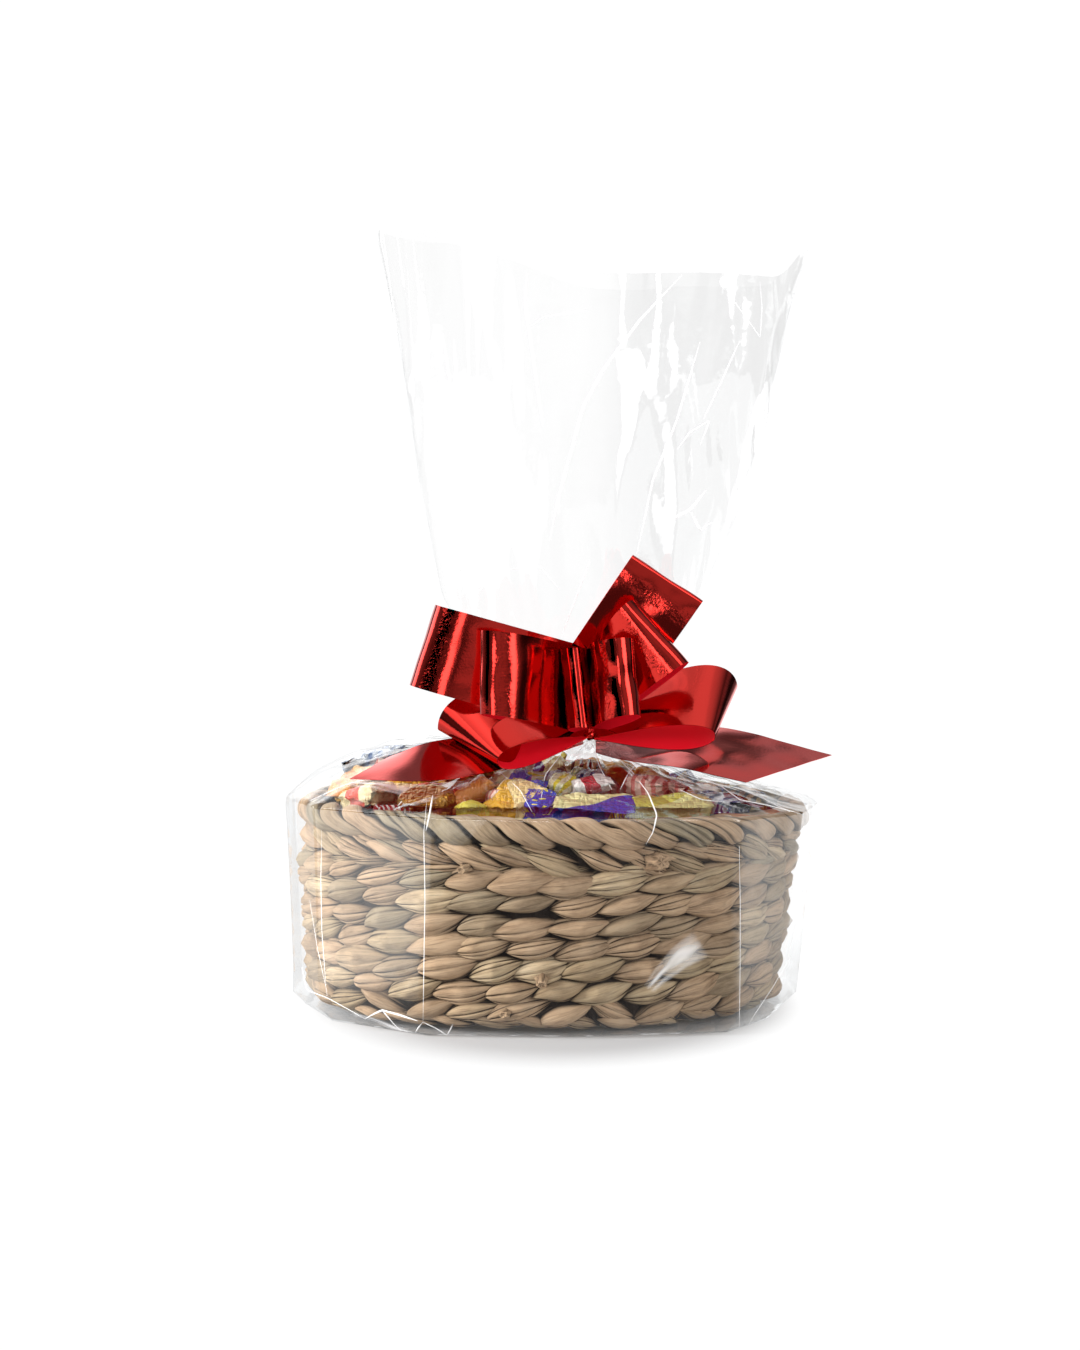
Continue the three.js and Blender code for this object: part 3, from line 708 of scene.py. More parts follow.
            # Each leaf has its own place in the patterns, and painted shade where it dives, on its back and along the
            # valleys of its folds
            number = len(parts.points)
            parts.add_grid(
                grid,
                caps=True,
                leaf_tone=float(vary(0, 1)),
                leaf_depth=np.clip((0.6 - out) / (self.sunk_tips + 1.0), 0, 1),
                leaf_crease=np.clip(crease, 0, 1),
                leaf_place=xyz(offset + 53.0 * number, across * 8.0, 1.7 * number),
            )

    def woven_rows(self) -> MeshParts:
        """The wall's rows, each a little to the left of the one below."""
        draw = np.random.default_rng(self.seed)
        parts = MeshParts()
        for number, height in enumerate(self.row_heights):
            shift = self.row_shift * number + draw.uniform(-0.12, 0.12)
            self.add_row(parts, LeafRow(self.leaves_per_row, height, *self.leaf, shift, low_bow=0.5), draw)
        return parts

    def border_rows(self) -> MeshParts:
        """The rows under the plait and at the foot, with the cut ends of the stakes."""
        draw = np.random.default_rng(self.seed + 1)
        parts = MeshParts()
        for row in self.borders:
            self.add_row(parts, row, draw)
        for stub in self.stubs:
            self.add_stub(parts, *stub, draw)
        return parts

    def add_stub(
        self, parts: MeshParts, across: float, height: float, radius: float, length: float, draw: np.random.Generator
    ) -> None:
        """Add the cut end of a stake, wrapped in a twist of leaf, that stands out of the front of the wall.

        Args:
            parts: the mesh that takes it.
            across: how far right of the middle it is.
            height: its height.
            radius: its thickness.
            length: how far it stands out.
            draw: the source of its unevenness.
        """
        form, angles = self.form, self.form.angles
        x = form.reach(form.rim_half_width, form.rim_half_depth, angles) * np.cos(angles)
        in_front = angles >= math.pi
        angle = float(angles[in_front][np.argmin(np.abs(x[in_front] - across))])
        foot = form.point(angle, height, 3.0)
        outward = unit(form.point(angle, height, -7.0) - foot) + UP * draw.uniform(-0.5, 0.1)
        side = unit(np.cross(outward, UP))
        around = circle(24)[None, :]
        share = np.array([0.0, 0.35, 0.6, 0.8, 0.94, 1.0, 1.0, 0.93, 0.92])[:, None]
        wide = np.array([1.5, 1.25, 1.1, 1.12, 1.02, 0.85, 0.7, 0.62, 0.05])[:, None]
        twist = np.sin(5 * around + 3 * share + height)
        ring = radius * wide * (1 + 0.12 * twist + 0.06 * np.sin(11 * around + across))
        grid = foot + (share * length)[..., None] * outward + (ring * np.cos(around))[..., None] * side
        grid = grid + (0.8 * ring * np.sin(around))[..., None] * np.cross(side, outward)
        # Painted shade darkens the hollows of the leaf twisted round the stake
        parts.add_grid(
            grid,
            caps=True,
            leaf_tone=float(draw.uniform(0.3, 0.9)),
            leaf_depth=0.3 * (share > 0.91),
            leaf_crease=np.clip(-twist - 0.3, 0, 1) * (share < 0.95),
            leaf_place=xyz(share * length, around * radius, 600.0 + across),
        )

    def backing(self) -> MeshParts:
        """The stakes and fibres behind the leaves, the plain inside of the wall and the floor."""
        form, bottom = self.form, self.wall_bottom
        parts = MeshParts()
        angle = form.angle_at(np.linspace(0, 1, 481)[:-1])[None, :]
        heights = np.linspace(bottom + 1, form.plait_height, 26)[:, None]
        stakes = np.abs(np.cos(angle * self.leaves_per_row)) ** 3
        lift = form.rim_lift(angle) * heights / form.plait_height
        outside = form.point(angle, heights, self.stakes_sunk[0] - self.stakes_sunk[1] * stakes, lift)
        shaded_fold_stops = form.point(angle, heights[::-1], self.backing_sunk + self.wall_thickness, lift[::-1])
        grid = np.concatenate([outside, shaded_fold_stops])
        place = xyz(grid[..., 2], angle * 140, 900.0)
        # The stakes and the wall's inside are painted nearly in the crevice shade, as they lie in shade behind the
        # leaves
        parts.add_grid(grid, close_rows=True, leaf_tone=0.2, leaf_depth=0.9, leaf_crease=0.3, leaf_place=place)
        rings = []
        for level, shares in zip(self.floor_levels, ((0.04, 0.5, 1), (1, 0.5, 0.04))):
            ring = form.point(angle[0, ::4], bottom + level, self.wall_thickness)
            rings += [ring * (share, share, 1) for share in shares]
        grid = np.stack(rings)
        # The floor is painted a little darker, as shade
        parts.add_grid(grid, caps=True, leaf_tone=0.4, leaf_depth=0.5, leaf_crease=0.0, leaf_place=grid)
        return parts

    def plait(self) -> MeshParts:
        """Three strands plaited over the rim, so that it shows long slants in front and arches on top."""
        form, rim = self.form, self.form.plait_height
        draw = np.random.default_rng(self.seed + 2)
        parts = MeshParts()
        share = np.arange(840) / 840
        angle, around = form.angle_at(share), circle(36)
        outward = unit(form.point(angle, rim, -40.0) - form.point(angle, rim, 0.0))
        for strand in range(3):
            wander = 0.035 * np.sin(TURN * share * 7 + strand) + 0.03 * np.sin(TURN * share * 17 + 2 * strand)
            turns = self.plait_rounds * share + strand / 3 + wander
            part = turns - np.floor(turns)
            # A strand runs down the rim's front in the open, and back up to its top under the other two
            shown = np.clip(part / self.shown_share, 0, 1)
            hidden = np.clip((part - self.shown_share) / (1 - self.shown_share), 0, 1)
            top, swing = self.strand_swing
            lean = np.radians(top - swing * (0.7 * shown + 0.3 * ease(shown, 0, 1)) + swing * ease(hidden, 0, 1))
            dome = np.sin(math.pi * shown) ** 0.55
            least, more, less = self.strand_reach
            radius = least + more * dome - less * np.sin(math.pi * hidden)
            lift = radius * np.sin(lean) + form.rim_lift(angle)
            path = form.point(angle, rim, self.plait_radius - radius * np.cos(lean), lift)
            normal = outward * np.cos(lean)[:, None] + UP * np.sin(lean)[:, None]
            tangent = unit(np.roll(path, -1, axis=0) - np.roll(path, 1, axis=0))
            side = unit(np.cross(tangent, normal))
            normal = np.cross(side, tangent)
            # Its section is a flat oval with pleats and two long creases
            swell = 1 + 0.1 * np.sin(TURN * share * 29 + 3 * strand) + 0.07 * np.sin(TURN * share * 47 + strand)
            swell = (swell * (0.74 + 0.4 * dome))[:, None]
            wide = self.strand_half_width * swell * np.cos(around)
            deep = self.strand_half_thickness * np.sign(np.sin(around)) * np.abs(np.sin(around)) ** 0.8
            ring = xyz(share[:, None] * 220, 4.5 * np.cos(around), 4.5 * np.sin(around))
            pleats = 0.3 * waves(ring, 90 + strand, 9) + 0.12 * waves(ring, 93 + strand, 4)
            crease = np.zeros_like(pleats)
            for line in (1.2, 2.05):
                stray = 0.35 * waves(xyz(share * 300, line, strand), 7, 24)[:, None]
                strength = ease(waves(xyz(share * 300, 9 * line, strand), 8, 18), 0.0, 0.9)[:, None]
                crease += bump(around - line - stray, 0, 0.12) * strength
            thick = deep * swell + (pleats - 0.7 * crease)
            grid = path[:, None, :] + wide[..., None] * side[:, None, :] + thick[..., None] * normal[:, None, :]
            # Each pass over the top is another leaf, so its tone changes where the strand is hidden
            passing = np.floor(turns + (1 - self.shown_share) / 2).astype(int)
            tones = np.clip(draw.normal(0.26, 0.2, passing.max() + 2), 0, 0.8)
            # Painted shade darkens each strand where it passes under the others, on its inner face and along its
            # creases
            under = (1 - dome)[:, None]
            depth = 0.95 * under**1.5 + 0.6 * (1 - np.maximum(np.sin(around), 0)) ** 1.5
            parts.add_grid(
                grid,
                close_rows=True,
                leaf_tone=tones[passing][:, None],
                leaf_depth=np.clip(depth, 0, 1),
                leaf_crease=np.clip(crease, 0, 1),
                leaf_place=xyz(share[:, None] * form.girth * 1.15, around * 4.7, 300.0 + 50 * strand),
            )
        # The rim's core between the strands is painted dark, as shade in the gaps
        turn, angle = circle(8)[None, :], angle[::4][:, None]
        lift = self.plait_core * np.sin(turn) + form.rim_lift(angle)
        grid = form.point(angle, rim, self.plait_radius - self.plait_core * np.cos(turn), lift)
        parts.add_grid(grid, close_rows=True, leaf_tone=0.2, leaf_depth=0.72, leaf_crease=0.2, leaf_place=grid)
        return parts

    def build(self) -> None:
        """Make the basket's pieces."""
        leaf = DriedLeaf("dried water hyacinth leaf, woven flat").material()
        for name, parts in (
            ("basket_woven_rows", self.woven_rows()),
            ("basket_border_rows", self.border_rows()),
            ("basket_stakes_and_floor", self.backing()),
            ("basket_rim_plait", self.plait()),
        ):
            parts.make(name, [leaf], "basket", "woven_leaf")


@dataclass
class FilmForm:
    """The outline of the clear bag, which also keeps the sweets under it."""

    form: BasketForm
    foot: tuple = (
        (97, -98), (124, -66), (140.2, -24), (140.2, 20), (126, 62), (86, 106), (12, 109),
        (-64, 106), (-128, 66), (-150.8, 20), (-150.8, -24), (-129, -69), (-71, -104.5), (12, -108.5),
    )
    shoulder: tuple = (
        (99, -103), (138, -70), (154, -24), (153, 22), (137, 70), (92, 108), (12, 115),
        (-66, 108), (-134, 72), (-156, 20), (-156, -24), (-133, -72), (-69, -109.5), (12, -115),
    )
    foot_inset: float = 0.955
    shoulder_height: float = 119.5
    neck: tuple = (22.0, 4.0)
    neck_radius: float = 9.5
    neck_height: float = 151.5
    neck_length: float = 7.0
    # Height, centre, half width and half depth of the collar's sections
    collar: tuple = (
        (158.5, 22, 9.5, 9.5), (170, 19, 30, 12), (196, 13, 56, 16), (236, 11.5, 77, 22),
        (285, 17.5, 92, 30), (360, 21, 111, 38), (437.5, 24, 125.5, 42), (462, 25, 130, 43),
    )
    lip_height: float = 437.5

    def plan(self, corners: tuple, places: np.ndarray) -> np.ndarray:
        """Points on a plan with straight sides, at places counted in sides."""
        closed = np.array([*corners, corners[0]], dtype=float)
        index = np.arange(len(closed))
        return np.stack([np.interp(places, index, closed[:, k]) for k in (0, 1)], axis=-1)

    def roof_height(self, share: np.ndarray, angle: np.ndarray) -> np.ndarray:
        """Height of the film over the sweets, from the neck (share 0) to the shoulder (share 1)."""
        to_back_left = 0.5 + 0.5 * np.cos(angle - math.radians(140))
        steepness = 1.2 + 7.0 * to_back_left**4 - 0.2 * np.cos(angle)
        shoulder = self.shoulder_height + self.form.rim_lift(angle)
        return self.neck_height + (shoulder - self.neck_height) * share**steepness

    def roof_over(self, points: np.ndarray) -> np.ndarray:
        """Height of the film over places inside the shoulder."""
        x, y = points[..., 0] - self.neck[0], points[..., 1] - self.neck[1]
        angle = np.arctan2(y, x)
        edge = self.plan(self.shoulder, np.linspace(0, len(self.shoulder), 281)[:-1]) - np.array(self.neck)
        edge_angle = np.arctan2(edge[:, 1], edge[:, 0])
        order = np.argsort(edge_angle)
        reach = np.interp(angle, edge_angle[order], np.hypot(edge[:, 0], edge[:, 1])[order], period=TURN)
        return self.roof_height(np.clip(np.hypot(x, y) / reach, 0, 1), angle)


class Kind(Enum):
    """How a sweet is wrapped."""

    TWIST = "twisted at both ends"
    BAR = "a flow-wrapped bar with crimped ends"
    BALL = "a ball in foil"


class Wrapper(Enum):
    """The heap's wrappers, each printed in plain fields of colour."""

    GOLD_FOIL = PrintedWrapper("gold foil, crumpled", "d8a24a", "7c4c18", Motif.PLAIN, 1.0, 0.3, 4.0)
    ORANGE = PrintedWrapper("orange printed film", "f8bf66", "f09a34", Motif.FIELD)
    NAVY = PrintedWrapper("navy printed film", "1d2450", "c9cbe0", Motif.FLECKS)
    PALE_BLUE = PrintedWrapper("silver blue metallised film", "d3dce6", "7f93b8", Motif.SLANTED, 0.4)
    CREAM_ORANGE = PrintedWrapper("cream and orange printed film", "fbe6b4", "e8604c", Motif.PANEL)
    AMBER = PrintedWrapper("amber printed film", "e0944c", "c04a32", Motif.FIELD)
    YELLOW_GREEN = PrintedWrapper("yellow green printed film", "d8cc4e", "ece28a", Motif.PLAIN)
    CREAM_RED = PrintedWrapper("cream and red printed film", "f6dc9c", "e2ae3c", Motif.FIELD)
    BLUE_FLECK = PrintedWrapper("blue printed film with yellow flecks", "3046b4", "e8d84e", Motif.FLECKS)
    PURPLE = PrintedWrapper("violet metallised film", "4c4390", "2a2c62", Motif.SLANTED, 0.4)
    YELLOW_SILVER = PrintedWrapper("yellow and silver metallised film", "dcd6b0", "d8c83a", Motif.LENGTHWISE, 0.35)
    BLUE_CREAM = PrintedWrapper("blue and cream printed film", "3c42ae", "efe6a8", Motif.FIELD)
    WHITE_RED = PrintedWrapper("white and red printed film", "f0ebe6", "b8303c", Motif.PANEL)
    PALE_GREEN = PrintedWrapper("pale yellow green printed film", "dedb96", "c8c45e", Motif.FIELD)
    PINK_CREAM = PrintedWrapper("pinkish cream printed film", "f0d2c2", "d8867c", Motif.BANDS)
    SILVER_NAVY = PrintedWrapper("silver and navy metallised film", "cdd0d8", "3a4384", Motif.SLANTED, 0.4)
    GOLD_BLACK = PrintedWrapper("gold and black metallised film", "d4b070", "2a221a", Motif.SLANTED, 0.4)
    DARK_RED = PrintedWrapper("dark red printed film", "7c2226", "b8b0ac", Motif.BANDS)
    BROWN = PrintedWrapper("brown printed film", "4a3020", "8c6a40", Motif.BANDS)


@dataclass(frozen=True)
class Sweet:
    """One wrapped sweet, lying round its own x axis before it is placed."""

    kind: Kind
    wrapper: Wrapper
    place: tuple[float, float, float]
    turn: float
    tip: float
    length: float
    girth: float
    seed: int = 0

    def body(self) -> tuple[np.ndarray, np.ndarray]:
        """The wrapper's surface about the origin.

        Returns:
            A grid of points from end to end, and for each the place on the wrapper.
        """
        shapes = {Kind.TWIST: (41, self.twist), Kind.BAR: (33, self.bar), Kind.BALL: (21, self.ball)}
        rows, build = shapes[self.kind]
        share, around = np.linspace(-1, 1, rows)[:, None], circle(40)
        return build(share, around[None, :]), xyz(share, around / TURN, 3.0 * self.seed)

    def twist(self, share: np.ndarray, around: np.ndarray) -> np.ndarray:
        """A candy with its film gathered to a neck at each end and fanned out beyond it."""
        far = np.abs(share)
        candy = self.girth / 2 * np.maximum(1 - (far / 0.56) ** 3.4, 0) ** 0.45
        gathers = 0.05 + 0.22 * bump(far, 0.52, 0.12)
        radius = np.maximum(candy, self.girth * 0.13) * (1 + gathers * np.sin(11 * around + 5 * share + self.seed))
        # The fan is a pleated sheet that lies at an angle of its own
        fan = ease(far, 0.54, 0.72)
        lay = self.seed * 1.3
        flat = np.cos(around - lay)
        wide = self.girth * (0.16 + 0.42 * ease(far, 0.55, 1.0)) * flat
        pleat = 0.22 * self.girth * np.sin(4.5 * math.pi * flat + self.seed) * ease(far, 0.55, 0.9)
        thin = pleat * 0.5 + np.sin(around - lay) * 0.5
        y = radius * np.cos(around) * (1 - fan) + (wide * math.cos(lay) - thin * math.sin(lay)) * fan
        z = radius * np.sin(around) * (1 - fan) + (wide * math.sin(lay) + thin * math.cos(lay)) * fan
        edge = 1 + 0.05 * np.sin(9 * flat * math.pi + self.seed) * ease(far, 0.8, 1.0)
        return xyz(share * self.length / 2 * edge, y, z)

    def bar(self, share: np.ndarray, around: np.ndarray) -> np.ndarray:
        """A pillow of film round a bar, crimped flat at both ends."""
        far, power = np.abs(share), 0.72
        pinch = ease(far, 0.74, 0.9)
        half_width = self.girth / 2 * (1 - 0.12 * bump(far, 0.78, 0.12))
        half_height = self.girth * 0.31 * (1 - pinch) + 0.35 * pinch
        y = half_width * np.sign(np.cos(around)) * np.abs(np.cos(around)) ** power
        z = half_height * np.sign(np.sin(around)) * np.abs(np.sin(around)) ** power
        z = z + 0.3 * pinch * np.sin(y * 3.2)
        z = z + self.girth * 0.035 * np.sin(around * 6 + 9 * share + self.seed) * (1 - pinch) * (0.3 + far)
        x = share * self.length / 2 + 0.5 * np.sign(share) * ease(far, 0.97, 1.0) * np.sin(y * 3.2)
        return xyz(x, y, z)

    def ball(self, share: np.ndarray, around: np.ndarray) -> np.ndarray:
        """A ball in crumpled foil."""
        polar, half = (share + 1) / 2 * math.pi, self.girth / 2
        ring = np.sin(polar) * half
        grid = xyz(-np.cos(polar) * self.length / 2, ring * np.cos(around), ring * np.sin(around))
        dents = np.abs(waves(grid + 31 * self.seed, 5, 9)) + 0.5 * np.abs(waves(grid, 6, 4.5))
        return grid * (1.04 - 0.1 * dents[..., None])

    def placed(self) -> tuple[np.ndarray, np.ndarray]:
        """The wrapper's surface where the sweet lies, and the place on the wrapper of each point."""
        grid, place = self.body()
        grid = grid + 0.35 * waves(grid + 17 * self.seed, self.seed, 11)[..., None] * np.array([0.3, 1, 1])
        tip, turn = math.radians(self.tip), math.radians(self.turn)
        tipped = np.array([[math.cos(tip), 0, -math.sin(tip)], [0, 1, 0], [math.sin(tip), 0, math.cos(tip)]])
        turned = np.array([[math.cos(turn), -math.sin(turn), 0], [math.sin(turn), math.cos(turn), 0], [0, 0, 1]])
        return grid @ (turned @ tipped).T + np.array(self.place), place


@dataclass
class SweetsHeap:
    """The heap of sweets over its own core, pressed under the film."""

    form: BasketForm
    film: FilmForm
    half_width: float = 130.0
    half_depth: float = 90.5
    edge_height: float = 112.0
    crown: float = 17.0
    left_rise: float = 11.0
    right_drop: float = 5.0
    film_gap: float = 1.6
    from_wall: float = 15.2
    from_plait: float = 19.2
    over_plait: float = 3.0
    plait_band: tuple = (98.0, 121.0)  # heights between which the plait is in the way
    over_rim: tuple = (119.0, 124.0)  # heights between which the sweets may spread over the plait
    core_drop: float = 6.0
    core_sunk: float = 14.2
    core_levels: tuple = (8.0, 40.0, 98.0)
    # The sweets that fill up the heap: how many are tried, and their sizes
    seed: int = 7
    tries: int = 3000
    spacing: float = 19.0
    filled: float = 0.92  # share of the heap's area
    beside_wall: float = 0.8  # share of the way out, beyond which a sweet lies along the wall
    lengths: tuple = (38, 50)
    girths: tuple = (17, 21)
    ball_length: float = 25.0
    raised: float = 2.5

    # The sweets seen through the front of the film
    front: tuple = (
        (Kind.BAR, Wrapper.ORANGE, (-116, -20, 127), 60, 20, 34, 20),
        (Kind.TWIST, Wrapper.PALE_BLUE, (-100, 4, 141), 12, 10, 50, 21),
        (Kind.BAR, Wrapper.CREAM_ORANGE, (-106, -46, 122), -50, 14, 42, 21),
        (Kind.BALL, Wrapper.GOLD_FOIL, (-70, -78, 121.5), 0, 0, 33, 27),
        (Kind.BAR, Wrapper.AMBER, (-50, -66, 125), 20, 20, 38, 22),
        (Kind.BALL, Wrapper.YELLOW_GREEN, (-45, -88, 117.5), 20, 0, 22, 15),
        (Kind.BAR, Wrapper.CREAM_RED, (-24, -82, 122), 52, 34, 44, 25),
        (Kind.TWIST, Wrapper.BLUE_FLECK, (-8, -84, 122), 82, 30, 46, 19),
        (Kind.TWIST, Wrapper.YELLOW_SILVER, (4, -58, 128), 64, 20, 42, 17),
        (Kind.BAR, Wrapper.BLUE_CREAM, (22, -85, 118.5), -4, 3, 56, 30),
        (Kind.BAR, Wrapper.WHITE_RED, (20, -58, 130), 12, 16, 26, 17),
        (Kind.BAR, Wrapper.PALE_GREEN, (64, -76, 118), 8, 4, 56, 28),
        (Kind.TWIST, Wrapper.PINK_CREAM, (52, -50, 127), -20, 8, 46, 19),
        (Kind.TWIST, Wrapper.SILVER_NAVY, (92, -60, 118.5), -14, 4, 52, 19),
        (Kind.TWIST, Wrapper.GOLD_BLACK, (110, -34, 117.5), -34, -2, 50, 19),
        (Kind.BAR, Wrapper.BROWN, (115, -8, 112), 70, 0, 38, 18),
        (Kind.BAR, Wrapper.NAVY, (-108, -8, 131), 24, 8, 30, 14),
        (Kind.BAR, Wrapper.DARK_RED, (-90, -68, 116), -30, 4, 30, 14),
    )

    def height(self, x: np.ndarray, y: np.ndarray) -> np.ndarray:
        """The height of the heap's core."""
        out = np.minimum(1.0, np.hypot(x / self.half_width, y / self.half_depth))
        left = self.left_rise * bump(x, -84, 46) * bump(y, 8, 62)
        return self.edge_height + self.crown * (1 - out**2.2) + left - self.right_drop * bump(x, 100, 50)

    def sweets(self) -> list[Sweet]:
        """The sweets in front, and as many behind and between them as cover the heap."""
        found = [Sweet(*row, seed=i + 1) for i, row in enumerate(self.front)]
        draw = np.random.default_rng(self.seed)
        kinds = [Kind.TWIST, Kind.BAR, Kind.TWIST, Kind.BALL, Kind.BAR]
        dark = (Wrapper.GOLD_FOIL, Wrapper.NAVY, Wrapper.BROWN, Wrapper.DARK_RED)
        wrappers = [w for w in Wrapper if w not in dark]
        for _ in range(self.tries):
            angle = draw.uniform(0, TURN)
            out = math.sqrt(draw.uniform(0, self.filled))
            reach = float(self.form.reach(self.half_width, self.half_depth, angle)) * out
            x, y = reach * math.cos(angle), reach * math.sin(angle)
            if min(math.hypot(x - s.place[0], y - s.place[1]) for s in found) < self.spacing:
                continue
            number = len(found)
            kind = kinds[number % len(kinds)]
            wrapper = Wrapper.GOLD_FOIL if kind is Kind.BALL else wrappers[(number * 7) % len(wrappers)]
            length = self.ball_length if kind is Kind.BALL else draw.uniform(*self.lengths)
            girth = draw.uniform(*self.girths)
            place = (x, y, float(self.height(x, y)) + self.raised)
            along_wall = out > self.beside_wall
            turn = math.degrees(angle) + 90 + draw.normal(0, 12) if along_wall else draw.uniform(0, 360)
            found.append(Sweet(kind, wrapper, place, turn, draw.uniform(-9, 9), length, girth, seed=number + 1))
        return found

    def kept_in(self, grid: np.ndarray) -> np.ndarray:
        """Press points under the film and keep them inside the wall and the plait."""
        kept = grid.copy()
        angle, height = np.arctan2(kept[..., 1], kept[..., 0]), kept[..., 2]
        above = ease(height, *self.over_rim)
        sunk = self.from_wall * (1 - above) + self.over_plait * above
        low, high = self.plait_band
        sunk = np.where((height > low) & (height < high), np.maximum(sunk, self.from_plait), sunk)
        outline = self.form.point(angle, np.minimum(height, self.form.plait_height), sunk)
        reach = np.hypot(kept[..., 0], kept[..., 1])
        scale = np.minimum(1, np.hypot(outline[..., 0], outline[..., 1]) / np.maximum(reach, 1e-6))
        kept[..., :2] *= scale[..., None]
        kept[..., 2] = np.minimum(kept[..., 2], self.film.roof_over(kept) - self.film_gap)
        return kept

    def core(self) -> MeshParts:
        """The heap's core, a little lower than the sweets that cover it."""
        parts = MeshParts()
        angle = self.form.angle_at(np.linspace(0, 1, 97)[:-1])
        rings = [self.form.point(angle, height, self.core_sunk) for height in self.core_levels]
        for share in np.linspace(0.97, 0.02, 16):
            reach = self.form.reach(self.half_width, self.half_depth, angle) * share
            x, y = reach * np.cos(angle), reach * np.sin(angle)
            ring = xyz(x, y, self.height(x, y) - self.core_drop)
            rings.append(ring + UP * 1.5 * waves(ring, 3, 22)[:, None])
        parts.add_grid(np.stack(rings), caps=True)
        return parts

    def build(self) -> None:
        """Make one piece for each kind of sweet, and the core."""
        pieces = {kind: MeshParts() for kind in Kind}
        names = list(Wrapper)
        for sweet in self.sweets():
            grid, place = sweet.placed()
            pieces[sweet.kind].add_grid(self.kept_in(grid), names.index(sweet.wrapper), caps=True, wrap_place=place)
        materials = [w.value.material() for w in Wrapper]
        for kind, parts in pieces.items():
            parts.make(f"sweets_{kind.name.lower()}", materials, "sweets_heap", "sweet_wrappers")
        # The core is painted dark brown, as the shade in the gaps between the sweets
        shaded = PrintedWrapper("plain film deep in the heap", "6b4a32", roughness=0.5)
        self.core().make("sweets_core", [shaded.material()], "sweets_heap", "sweet_wrappers")


